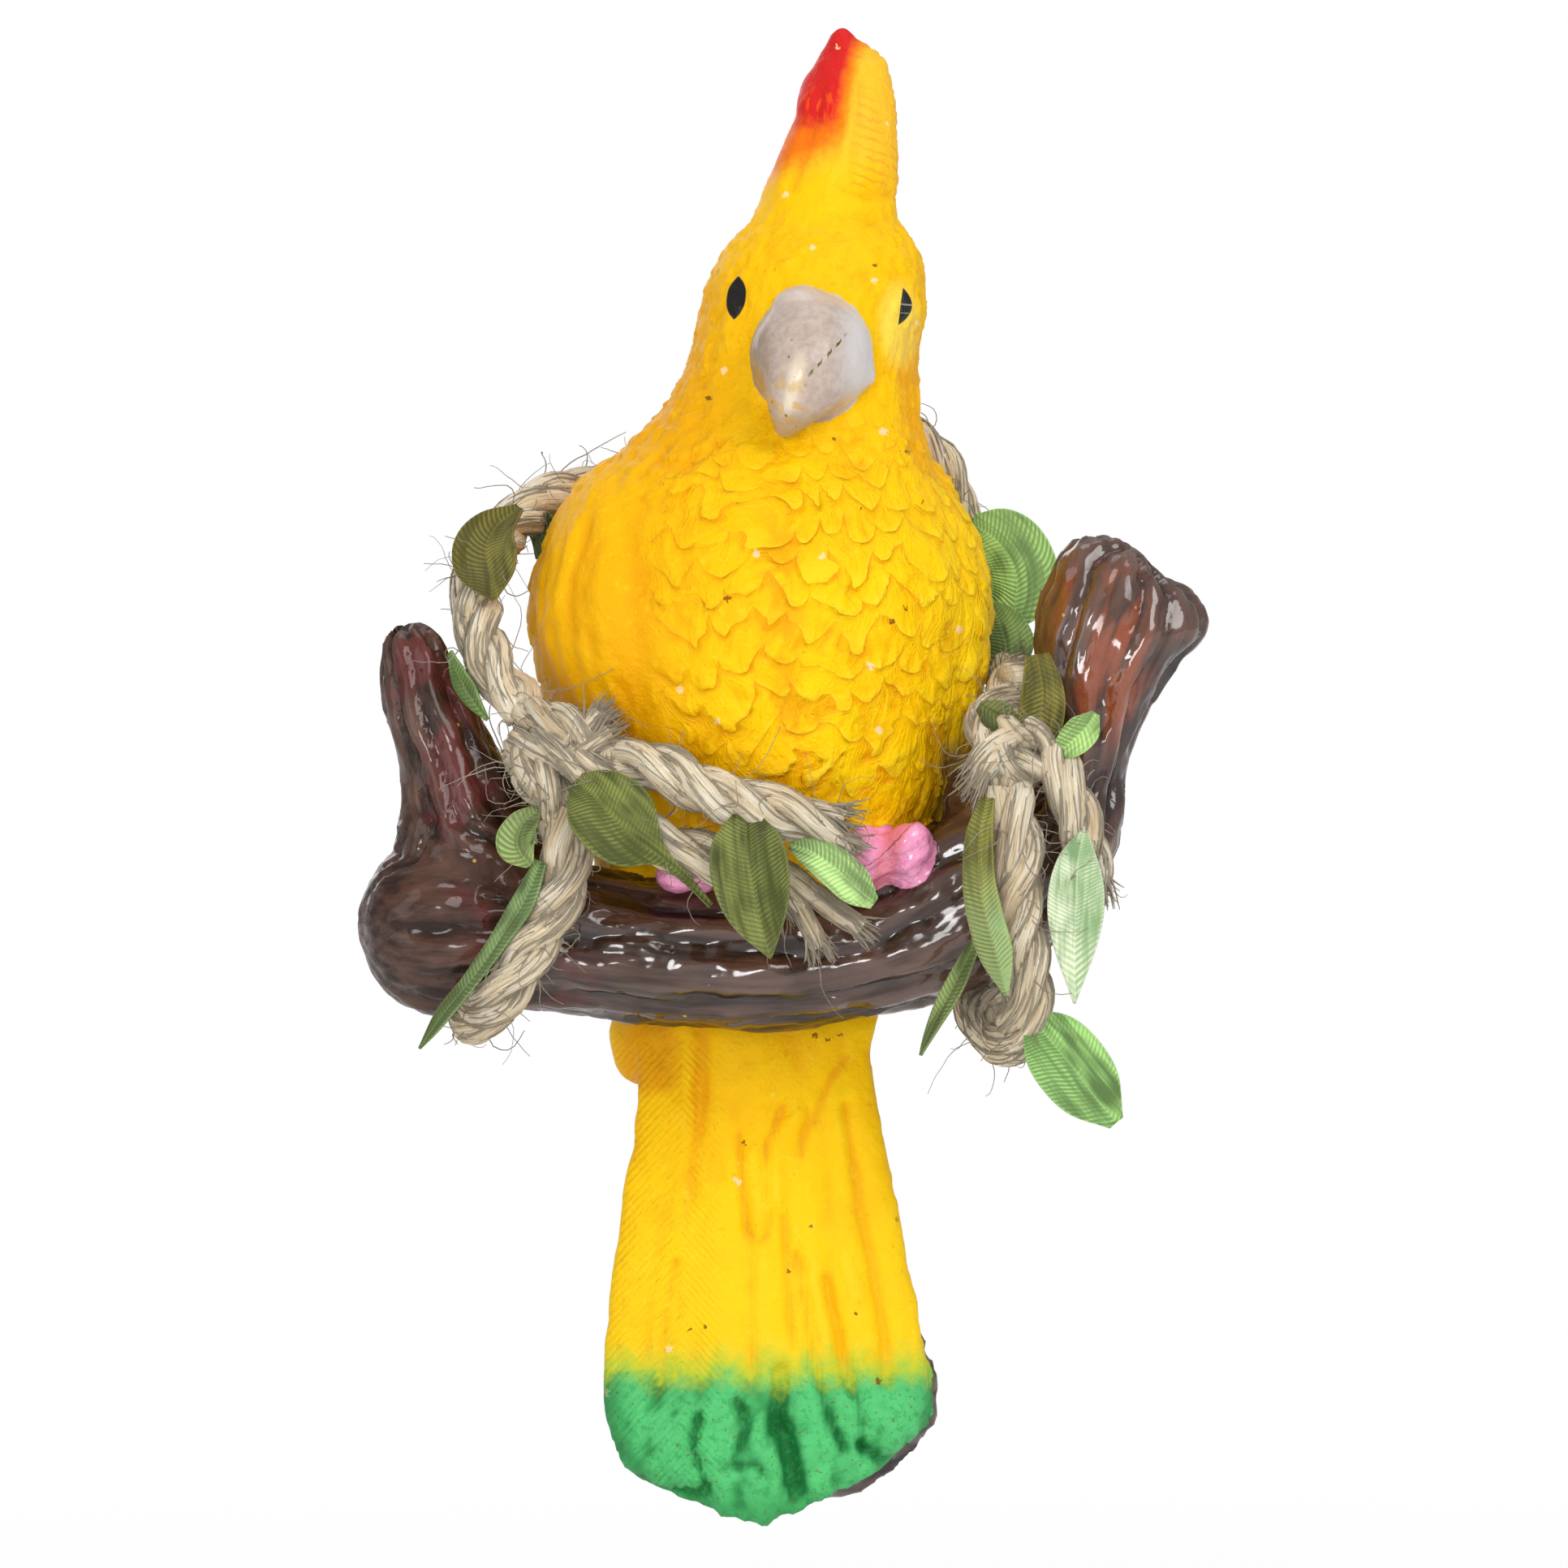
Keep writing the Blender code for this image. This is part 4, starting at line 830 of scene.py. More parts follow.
def birdTurn(height):
    return plumes["turn"] * (1.0 - smoothStep(29.6, 60.8, height))


def birdGirth(height):
    # middle x, half width, middle y and half depth under the wings' lift
    girth = curveThrough([r[0] for r in birdRows], [r[1:] for r in birdRows], height).T.copy()
    girth[1] -= wings["lift"] * (1.0 - smoothStep(40.0, 48.0, height))
    return girth


def birdPoint(height, degrees, lift):
    middleX, halfWidth, middleY, halfDepth = birdGirth(height)
    angle = np.radians(degrees + birdTurn(height))
    return np.stack([middleX + (halfWidth + lift) * np.sin(angle),
                     middleY - (halfDepth + lift) * np.cos(angle), height], axis=1)


def ringOf(angles, middleX, halfWidth, middleY, halfDepth, height):
    return np.stack([middleX + halfWidth * np.sin(angles), middleY - halfDepth * np.cos(angles),
                     np.full(len(angles), height)], axis=1)


def limbRings(rows, step, count):
    rows = np.asarray(rows, float)
    middles = (rows[:, 0:2] + rows[:, 2:4]) / 2
    reach = lengthAlong(middles)
    dense = curveThrough(reach, rows, np.linspace(0, reach[-1], int(reach[-1] / step)))
    angles = np.arange(count) * 2 * np.pi / count
    rings = []
    for ux, uz, lx, lz, depth in dense:
        middle = np.array(((ux + lx) / 2, branchMiddleY, (uz + lz) / 2))
        across = np.array(((ux - lx) / 2, 0.0, (uz - lz) / 2))
        rings.append(middle + np.cos(angles)[:, None] * across
                     + np.sin(angles)[:, None] * np.array((0.0, -depth, 0.0)))
    return rings


def tailRings(rows, front, back, count=30):
    # the tail's front slab or brown back, as flat rings under each other
    heights = np.concatenate([np.linspace(rows[0][0], -48, 40), np.linspace(-48.4, rows[-1][0], 18)])
    edges = curveThrough([-r[0] for r in rows], [r[1:] for r in rows], -heights)
    across = np.sin(np.linspace(-np.pi / 2, np.pi / 2, count))
    rings = []
    for height, (left, right) in zip(heights, edges):
        x = (left + right) / 2 + across * (right - left) / 2
        near = front(height, across) + 0.9 * np.abs(across) ** 9
        far = np.maximum(back(height, across) - 0.9 * np.abs(across) ** 9, near + 0.05)
        level = np.full(count, height)
        rings.append(np.concatenate([np.stack([x, near, level], 1), np.stack([x, far, level], 1)[::-1]]))
    return rings


def wingRings(side, count=18):
    rows = np.asarray(wingRows)
    last = castingMesh["wingLevels"] - 1
    down = np.linspace(0, len(rows) - 1, last + 1)
    dense = curveThrough(np.arange(len(rows)), rows, down)
    share = np.linspace(0, 1, count)
    rings = []
    for number, (height, front, back) in enumerate(dense):
        level = np.full(count, height)
        degrees = side * (front + (back - front) * share)
        rim = (smoothStep(-0.02, 0.10, share) * smoothStep(1.02, 0.90, share)
               * smoothStep(-0.5, 2.0, min(number, last - number)))
        lift = wings["lift"] + (wings["tipLift"] - wings["lift"]) * smoothStep(0.6, 1.0, number / last)
        outer = birdPoint(level, degrees, (0.35 + 0.65 * rim) * lift)
        inner = birdPoint(level, degrees, -wings["rootDepth"])
        rings.append(np.concatenate([outer, inner[::-1]]))
    return rings


def tubeRings(rows, step, count):
    # round rings along a line of places and radii
    rows = np.asarray(rows, float)
    reach = lengthAlong(rows[:, :3])
    dense = curveThrough(reach, rows, np.linspace(0, reach[-1], int(reach[-1] / step)))
    _, first, second = carryFrames(dense[:, :3])
    angles = (np.arange(count) * 2 * np.pi / count)[:, None]
    return [place[:3] + place[3] * (np.cos(angles) * a + np.sin(angles) * b)
            for place, a, b in zip(dense, first, second)]


def buildForms():
    # every form of the casting as a closed body, sorted by what it is painted as
    angles = np.arange(castingMesh["sections"]) * 2 * np.pi / castingMesh["sections"]
    heights = np.concatenate([np.linspace(-13.6, 60, 60), np.linspace(61, 85.1, 34)])
    girth = birdGirth(heights)
    trunk = tubeStack("trunk", [ringOf(angles, *girth[:, i], heights[i]) for i in range(len(heights))])
    # the front slab stops short at its lower right, where the brown behind it shows
    slab = [(z, left, right - 1.8 * float(smoothStep(-45.6, -48.6, z)) * float(smoothStep(-53.8, -51.5, z)))
            for z, left, right in tailRows]
    tailFront = tubeStack("tail_front", tailRings(slab, lambda z, a: 1.4 + 1.5 * np.abs(a),
                                                  lambda z, a: 5.2 + 1.3 * np.abs(a)))
    brown = [(z, left + 1.4, right - 0.7 + 1.4 * float(smoothStep(-34, -40, z)))
             for z, left, right in tailRows[:-2]]
    tailBack = tubeStack("tail_back", tailRings(
        brown, lambda z, a: 4.4 + 1.0 * np.abs(a),
        lambda z, a: 12.8 - 4.6 * min(1.0, 1.25 * (4.0 - z) / 58.5) - 1.2 * a ** 4))
    branch = tubeStack("branch", limbRings(branchRows, 1.2, 44))
    stub = tubeStack("stub", limbRings(stubRows, 1.2, 36))
    beak = tubeStack("beak", tubeRings(beakSpine, 0.6, 40))
    lower = roundLump("beak_lower", (6.1, -12.8, 50.8), (7.0, 6.0, 4.0), (0, -35, 0))
    corner = roundLump("beak_corner", (9.2, -12.2, 52.4), (2.6, 4.4, 2.6))
    cere = roundLump("cere", (3.5, -13.0, 58.9), (5.2, 5.6, 3.4))
    rump = roundLump("rump", (-10.9, 8.4, -8.4), (7.0, 9.0, 11.0), (0, 14, 0))
    fork = roundLump("fork", (20.3, -5.6, 12.4), (6.4, 8.0, 8.6))
    wingPieces = [tubeStack("wing", wingRings(side)) for side in (-1, 1)]
    toePieces = [roundLump("toe", middle, size, (12, 0, 0)) for middle, size in toeLumps]
    return {"bird": joinPieces("bird", [trunk, tailFront, rump] + wingPieces),
            "bark": joinPieces("bark", [branch, stub, tailBack, fork]),
            "beak": joinPieces("beak", [beak, lower, corner, cere]), "toes": joinPieces("toes", toePieces)}


def distanceTo(form, points):
    tree = BVHTree.FromPolygons([v.co for v in form.data.vertices], [p.vertices for p in form.data.polygons])
    return np.array([tree.find_nearest(Vector(p))[3] for p in points]) / mm


def axisPlace(rows, points):
    # place along a limb, angle round it and distance from its middle line, for each point
    rows = np.asarray(rows, float)
    middles = (rows[:, 0:2] + rows[:, 2:4]) / 2
    line = lineThrough(np.c_[middles, np.zeros(len(middles))], 0.5)[:, :2]
    flat = points[:, [0, 2]]
    nearest = np.empty(len(points), int)
    for start in range(0, len(points), 20000):
        part = flat[start:start + 20000]
        nearest[start:start + 20000] = ((part[:, None] - line[None]) ** 2).sum(2).argmin(1)
    along = unit(np.gradient(line, axis=0))[nearest]
    gap = flat - line[nearest]
    side = gap[:, 0] * -along[:, 1] + gap[:, 1] * along[:, 0]
    depth = points[:, 1] - branchMiddleY
    return nearest * 0.5, np.arctan2(side, -depth), np.hypot(side, depth)


def plumeRows(height):
    k = (plumes["rowAtFoot"] - plumes["rowAtNeck"]) / (plumes["upTo"] - plumes["from"])
    here = np.maximum(plumes["rowAtFoot"] - k * (height - plumes["from"]), 0.8)
    return np.log(plumes["rowAtFoot"] / here) / k


def shingle(u, v, roundness):
    # share of the way up a feather from its tip, place across it, and its own number
    def lowerEdge(row):
        across = np.mod(u + 0.5 * np.mod(row, 2), 1.0)
        return row - roundness * (1 - (2 * across - 1) ** 2)
    row = np.floor(v) + 1
    row = np.where(v >= lowerEdge(row), row, row - 1)
    low, high = lowerEdge(row), lowerEdge(row + 1)
    shifted = u + 0.5 * np.mod(row, 2)
    share = (v - low) / np.maximum(high - low, 0.05)
    return share, np.mod(shifted, 1.0) - 0.5, np.floor(shifted) * 7.3 + row * 3.1


def lineRelief(points, lines):
    # grooves (negative) and ridges (positive) drawn on the front as lines of x, z
    total = np.zeros(len(points))
    for depth, width, path in lines:
        path = np.asarray(path, float)
        nearest = np.full(len(points), 1e9)
        for a, b in zip(path, path[1:]):
            edge = b - a
            share = np.clip(((points[:, [0, 2]] - a) @ edge) / (edge @ edge), 0, 1)
            gap = np.linalg.norm(points[:, [0, 2]] - a - share[:, None] * edge, axis=1)
            nearest = np.minimum(nearest, gap)
        total += depth * np.exp(-(nearest / width) ** 2)
    return total


tailLines = (
    # depth, width and path of each groove or ridge on the tail's front
    (-0.32, 0.9, ((-5.6, -8), (-6.2, -18), (-8, -28))),
    (0.22, 0.5, ((-7, -10.5), (-6.9, -16), (-7.4, -22), (-8.6, -30))),
    (-0.4, 0.5, ((-8.2, -30), (-9.2, -36), (-9.8, -43.6))), (-0.25, 0.35, ((-7.6, -32), (-8.4, -41))),
    (-0.26, 0.32, ((-1.3, -24.6), (-1.2, -33), (-1, -41.3))),
    (-0.34, 0.34, ((-2.3, -18), (-1.9, -24), (-1.6, -27.2), (-0.6, -28.4), (0.5, -27.6), (0.7, -25.2),
                   (0.1, -22), (0.4, -19), (2, -15.6))),
    (0.22, 0.8, ((0.9, -24.6), (1.6, -19.4), (3.2, -16.2))), (0.2, 0.7, ((-0.6, -26.6), (-0.9, -20))),
    (-0.3, 0.4, ((1.9, -26), (2.6, -33), (2.9, -38))), (-0.85, 0.75, ((1.7, -40.4), (1.5, -45.5))),
    (-1, 0.95, ((1.9, -46), (3.3, -51.6))), (0.3, 0.7, ((3.3, -32), (4, -38), (5, -44))),
    (-0.6, 0.5, ((3.2, -29.5), (4.2, -36.5), (5.6, -43.5), (7.6, -47.6))),
    (0.3, 0.7, ((5, -30.5), (6.2, -37.5))),
    (-0.62, 0.5, ((5.8, -31.7), (7.4, -38.6), (8.8, -43.6), (9.4, -47.6))),
    (-0.35, 0.5, ((7.7, -15.6), (9.2, -26), (11, -35), (11.8, -40.4))),
    (0.22, 0.6, ((6.6, -14), (7.6, -21))), (0.26, 0.5, ((7.4, -29), (8.8, -33.6))),
    (-0.25, 0.4, ((4.8, -17), (6.6, -12.6), (8, -11))), (-0.28, 0.4, ((3.6, -20), (4.2, -16))),
    (-0.4, 0.4, ((-2.6, -43), (-1.2, -45.4), (-2.8, -48.8))),
    (-0.4, 0.4, ((-6, -44.6), (-6.4, -47.6), (-5.2, -51))),
    (-0.35, 0.4, ((-3.8, -49.6), (-0.6, -49), (0.6, -50.6))),
    (-0.45, 0.6, ((-12.4, -50.2), (-9, -52), (-5.4, -51.8))),
    (-0.5, 0.6, ((9, -47.6), (11.4, -49), (13.8, -48.2))),
)
headLines = (
    (0.34, 0.45, ((9, 82.4), (8.4, 79.2), (8, 75.6), (7.6, 72.6))),
    (0.24, 0.4, ((6.9, 75), (6.6, 71.4), (6, 69))), (-0.32, 0.4, ((8.2, 81.6), (7.2, 76.6), (6.6, 72.6))),
    (-0.26, 0.4, ((9.4, 80.4), (9, 75), (8.6, 71))), (-0.28, 0.5, ((5.4, 80), (4.6, 76), (2.8, 70.4))),
    (0.22, 0.6, ((4, 78.6), (3, 74.6), (1.4, 70.6))), (-0.22, 0.45, ((7.4, 70.2), (9.4, 69.4), (12, 69.8))),
    (0.2, 0.5, ((7.6, 69.2), (10, 68.4), (12, 68.6))),
    (0.34, 0.55, ((-17.2, 39.3), (-18, 36), (-19.5, 30.3))),
    (-0.28, 0.9, ((-16.2, 39), (-16.8, 35), (-18, 29))),
    (-0.3, 1.8, ((-8.8, 45), (-11.6, 36), (-12.6, 26), (-13, 19))),
    (-0.22, 0.8, ((-5, 52), (-7, 44), (-7.6, 38))), (-0.2, 0.8, ((-2.8, 54), (-4, 46), (-4.4, 40))),
    (0.2, 0.9, ((-9.8, 42), (-11, 36))),
)
# pale chips and dark specks in the paint: x, z, half size
paleChips = (
    (-0.5, 35.7, 0.34), (5.5, 35.5, 0.3), (-7.5, 23.3, 0.3), (-4.1, 20.4, 0.24), (10.7, 19.6, 0.36),
    (18.2, 29, 0.36), (9.9, 25.5, 0.38), (4.6, 64.4, 0.22), (-3.6, 53, 0.32), (11.2, 47.3, 0.38),
    (-2.4, -22.6, 0.34), (-8.8, -38.4, 0.3), (-15, -42.6, 0.5), (14.4, 57.6, 0.26), (10.4, 61.3, 0.3),
    (7, 83.8, 0.2), (2.1, 69.6, 0.26), (11.6, 76.4, 0.18),
)
darkSpecks = (
    (-3.2, 31.6, 0.26), (13.1, 30.8, 0.2), (11.9, 29.6, 0.18), (13.4, 45.5, 0.22), (-1.8, -19, 0.2),
    (12.6, -26.2, 0.24), (4.5, -26.8, 0.16), (10.8, -41.4, 0.28), (-5.4, -36.2, 0.2), (-6.9, -36.6, 0.18),
    (6.6, 46.4, 0.18), (9, 40, 0.15), (8.8, -35, 0.18), (10.4, 62.7, 0.24), (4.9, -8.9, 0.24),
    (6, -9.3, 0.2), (7.3, -8.8, 0.22), (-5, 50.4, 0.24), (14.9, 40.8, 0.16), (2.4, -31, 0.16),
)


def carveCasting(piece, forms):
    points = readPoints(piece) / mm + loopTop
    normals = np.empty(len(points) * 3, np.float32)
    piece.data.vertices.foreach_get("normal", normals)
    normals = normals.reshape(-1, 3).astype(float)
    world = toWorld(points)
    gap = {name: distanceTo(form, world) for name, form in forms.items()}
    x, y, z = points.T
    bark = gap["bird"] - gap["bark"]
    beak = np.minimum(gap["bird"], gap["bark"]) - gap["beak"]
    toe = np.minimum(gap["bird"], gap["bark"]) - gap["toes"]

    girth = birdGirth(z)
    degrees = np.degrees(np.arctan2((x - girth[0]) / girth[1], -(y - girth[2]) / girth[3])) - birdTurn(z)
    degrees = np.mod(degrees + 180, 360) - 180
    bird = smoothStep(0.3, -0.3, np.maximum(np.maximum(bark, beak), toe))
    above = smoothStep(-4.0, 3.0, z + 5 * smoothStep(5.0, 12.0, y))

    # shingled breast, its feathers uneven in place, size and height
    u = degrees / plumes["pitch"] + 0.30 * wobble(points, 14.0, 1) + 0.10 * wobble(points, 5.5, 2)
    v = plumeRows(z) + 0.40 * wobble(points, 11.0, 3) + 0.12 * wobble(points, 5.5, 4)
    t, across, number = shingle(u, v, plumes["round"])
    breast = (smoothStep(-52, -38, degrees) * smoothStep(84, 66, degrees) * smoothStep(7, 13, z)
              * smoothStep(53, 38, z))
    fan = across / (1.3 - np.clip(t, 0, 1))
    facets = np.abs(np.mod(fan * 2.3 + 0.5 * np.sin(number), 1.0) * 2 - 1)
    own = np.sin(number * 12.9)
    merged = 0.35 + 0.65 * smoothStep(-0.5, 0.3, wobble(points, 8.0, 24))
    feather = plumes["lip"] * (1 - t) ** 1.1 * (0.62 + 0.38 * (1 - (2 * across) ** 2))
    feather *= (1 + 0.5 * own) * merged
    feather += 0.46 * (facets - 0.5) * (1 - 0.4 * t) * (0.7 + 0.5 * np.cos(number * 5.1))
    relief = breast * (feather - 0.14) * (0.45 + 0.55 * smoothStep(46, 28, z))
    relief -= 0.35 * np.exp(-((degrees + 9) / 4.5) ** 2) * smoothStep(14, 22, z) * smoothStep(44, 34, z)
    # small soft feathers on neck and head
    tSmall, _, _ = shingle(degrees / 9.0 + 0.3 * wobble(points, 6.0, 5),
                           z / 1.9 + 0.4 * wobble(points, 5.0, 6), 0.5)
    small = smoothStep(36, 46, z) * smoothStep(70, 66, z)
    relief += small * 0.24 * ((1 - tSmall) - 0.4) + small * 0.12 * wobble(points, 2.2, 7)
    # folded wings with stepped flight feathers
    rows = np.asarray(wingRows)[::-1]
    front, back = np.interp(z, rows[:, 0], rows[:, 1]), np.interp(z, rows[:, 0], rows[:, 2])
    side = np.abs(degrees)
    share = (side - front) / np.maximum(back - front, 1)
    tall = smoothStep(-13.5, -12.0, z) * smoothStep(46, 43, z)
    wing = smoothStep(0.0, 0.08, share) * smoothStep(1.0, 0.95, share) * tall
    place = np.mod(share * wings["feathers"] + 0.05 * wobble(points, 9.0, 8), 1.0)
    flight = smoothStep(0.0, 0.12, place) * (1 - 0.55 * place)
    back = smoothStep(140, 158, side) * smoothStep(-4, 4, z) * smoothStep(52, 44, z)
    mantle, _, _ = shingle(side / 13.0 + 0.2 * wobble(points, 9, 25),
                           z / 4.0 + 0.3 * wobble(points, 9, 26), 0.6)
    relief += back * (1 - wing) * 0.40 * (0.5 - mantle)
    covert, _, _ = shingle(side / 12.0 + 0.1 * wobble(points, 8, 8),
                           z / 4.4 + 0.2 * wobble(points, 9, 9), 0.55)
    low = smoothStep(27, 17, z)
    seenFront = smoothStep(104, 84, side) * (degrees < 0)
    quills = 0.05 * np.sin(2 * np.pi * (z * 0.55 + place * 2.6))
    relief += wing * (1 - 0.8 * seenFront) * (low * (wings["step"] * (flight - 0.25) + quills)
                                              + (1 - low) * 0.38 * (0.6 - covert))
    relief += wing * seenFront * (0.10 * np.sin(side * 0.8 + 2.0 * wobble(points, 22, 10))
                                  * smoothStep(46, 36, z))
    # crest and tail
    crest = smoothStep(67, 71, z)
    relief += 0.6 * smoothStep(-30, -62, degrees) * smoothStep(44, 49, z) * smoothStep(67, 61, z)
    relief -= 0.5 * smoothStep(40, 66, degrees) * smoothStep(38, 46, z) * smoothStep(59, 55, z)
    relief += (0.5 * np.exp(-(np.hypot(x - 7.4, z - 85.3) / 1.1) ** 2)
               + 0.5 * np.exp(-(np.hypot(x - 10.8, z - 82.6) / 1.9) ** 2))
    relief += lineRelief(points, headLines) * smoothStep(4.0, -2.0, y)
    barbs = np.sin(2 * np.pi * (z + 0.30 * (x - 8) + 0.3 * wobble(points, 5.0, 11)) / 0.95)
    relief += crest * 0.08 * barbs * smoothStep(8.2, 9.2, x)
    tail = smoothStep(-7.0, -9.0, z) * smoothStep(9.0, 7.0, y)
    facing = smoothStep(4.6, 2.8, y)
    relief = relief * above + tail * 1.5 * lineRelief(points, tailLines) * facing
    share = (x - 0.3) / (11.5 + 4.0 * smoothStep(-8, -42, z))
    crowns = np.abs(np.sin(np.pi * 7 * (share + 1) / 2 + 0.35 * wobble(points, 14, 12)))
    relief += tail * facing * 0.42 * (crowns - 0.4) * smoothStep(-12, -34, z)
    slant = np.sin(2 * np.pi * (z + 1.1 * np.abs(x + 7.6) + 0.6 * wobble(points, 6, 12)) / 1.15)
    relief += tail * facing * 0.10 * slant * (smoothStep(-3.5, -7.0, x)
                                              + 0.5 * smoothStep(6.0, 9.0, x) * smoothStep(-20, -30, z))
    relief += tail * facing * 0.10 * wobble(points * (1, 1, 0.35), 4.6, 13)
    green = smoothStep(-41, -44, z + 0.8 * wobble(points, 6, 13))
    relief += tail * facing * green * (0.30 + 0.30 * wobble(points * (1, 1, 0.5), 4.2, 14)
                                       + 0.14 * wobble(points, 1.7, 22))
    lobes = bird * tail * facing * (1.2 * smoothStep(6.0, 1.0, np.hypot(x + 9.6, (z + 46.8) * 1.1))
                                    + 1.2 * smoothStep(4.6, 0.8, np.hypot(x - 12.0, z + 44.6))
                                    + 0.9 * smoothStep(4.6, 1.0, np.hypot((x + 2.2) * 0.9, z + 47.8)))
    relief *= bird
    relief += bird * (0.10 * wobble(points, 7.0, 15) + 0.05 * wobble(points, 2.4, 16))

    # bark: ridges that run along the branch and up the stub
    reach, around, away = axisPlace(branchRows, points)
    reachStub, aroundStub, awayStub = axisPlace(stubRows, points)
    onStub = smoothStep(-15.0, -19.0, x) * smoothStep(4.0, 13.0, z)

    def barkGrain(reach, around, away):
        return np.stack([away * np.cos(around), away * np.sin(around), reach / 5.5], axis=1)
    grain = (barkGrain(reach, around, away) * (1 - onStub)[:, None]
             + barkGrain(reachStub + 30, aroundStub, awayStub) * onStub[:, None])
    angle = around * (1 - onStub) + aroundStub * onStub
    ridges = np.abs(np.sin(4.5 * angle + 1.1 * wobble(grain, 9.0, 17, 2) + 0.3 * wobble(grain, 2.2, 18, 2)))
    barkRelief = (0.85 * (ridges ** 0.7 - 0.55) + 0.20 * wobble(points, 6.0, 19)
                  + 0.10 * wobble(grain, 1.6, 21, 2))
    isBark = smoothStep(-0.3, 0.3, bark)
    rounded = smoothStep(1.0, 10.0, reach) * (1 - onStub) + onStub
    relief += isBark * np.clip(barkRelief, -0.65, 0.5) * (0.2 + 0.8 * rounded)
    # the fork's outer side and the dip between its two lobes
    outer = (smoothStep(0.1, 0.8, normals[:, 0]) * smoothStep(9, 16, z) * smoothStep(29, 25, z)
             * smoothStep(26, 31, x))
    relief -= isBark * (1.3 * outer + 1.0 * np.exp(-(np.hypot(x - 38.2, z - 35.6) / 2.4) ** 2))
    relief += smoothStep(-0.3, 0.4, beak) * 0.05 * wobble(points, 3.0, 20)

    writePoints(piece, toWorld(points + normals * (relief + lobes)[:, None]))
    data = piece.data
    for name, columns in (("zones", (bark, beak, toe)), ("plumage", (u, v, breast)),
                          ("grain", tuple(grain.T)), ("relief", (relief, small, onStub))):
        layer = data.attributes.new(name, "FLOAT_VECTOR", "POINT")
        layer.data.foreach_set("vector", np.stack(columns, 1).astype(np.float32).ravel())
    print("casting carved:", len(points), "points")


def nearSpots(finish, place, spots):
    # 1 inside any of the spots, as seen from the front
    jagged = finish.stretch(finish.node("TexNoise", None, {"Vector": place, "Scale": 3.2, "Detail": 2.0}, 1),
                            (0.9, 0, 0.9), (-0.45, 0.0, -0.45))
    flat = finish.node("VectorMath", {"operation": "ADD"}, {0: finish.stretch(place, (1, 0, 1)), 1: jagged})
    inside = None
    for x, z, size in spots:
        here = finish.distance(flat, (x, 0.0, z)).step(size * 1.15, size * 0.85)
        inside = inside.most(here) if inside else here
    return inside


paint = {
    "gold": (255, 205, 0), "warmGold": (254, 196, 0), "shadeInDips": (240, 156, 0), "lemon": (255, 222, 50),
    "crease": (244, 150, 0), "litRightSide": (255, 222, 30), "shadedLeftSide": (242, 168, 0),
    "shadedNeckLeft": (236, 158, 0), "rump": (232, 156, 0), "worn": (255, 224, 70), "grime": (206, 134, 0),
    "smudge": (176, 148, 100), "forehead": (252, 188, 6), "combed": (236, 146, 20),
    "crest": (252, 190, 70), "crestOrange": (242, 118, 14), "crestRed": (216, 36, 32),
    "crestStreak": (250, 96, 30), "tail": (254, 214, 30), "lime": (178, 204, 60),
    "green": (88, 198, 118), "greenShadeInDips": (20, 106, 52), "greenShadeLeft": (36, 124, 62),
    "greenShadeBottom": (44, 136, 70), "greenMottle": (52, 158, 80), "greenStain": (96, 110, 44),
    "chip": (254, 220, 170), "speck": (120, 70, 10), "beak": (194, 176, 164), "beakCloud": (180, 160, 148),
    "beakLitRight": (214, 212, 212), "beakShadedLeft": (140, 116, 90), "beakRidgeHighlight": (236, 222, 198),
    "beakTop": (216, 200, 188), "beakWash": (206, 160, 60), "beakTip": (176, 146, 100),
    "beakSlash": (96, 88, 26), "beakDots": (134, 112, 40), "bark": (46, 25, 16), "barkPale": (86, 53, 38),
    "barkRight": (92, 66, 56), "barkShadeInDips": (30, 17, 11), "barkRidgeHighlight": (124, 92, 78),
    "barkRed": (104, 42, 40), "barkFlame": (160, 76, 38), "barkGrit": (214, 170, 84),
    "foot": (252, 150, 196), "footPale": (255, 174, 212), "footCreaseShade": (242, 132, 146),
    "eyePatch": (255, 234, 104), "eye": (24, 22, 20), "glint": (200, 200, 180),
}


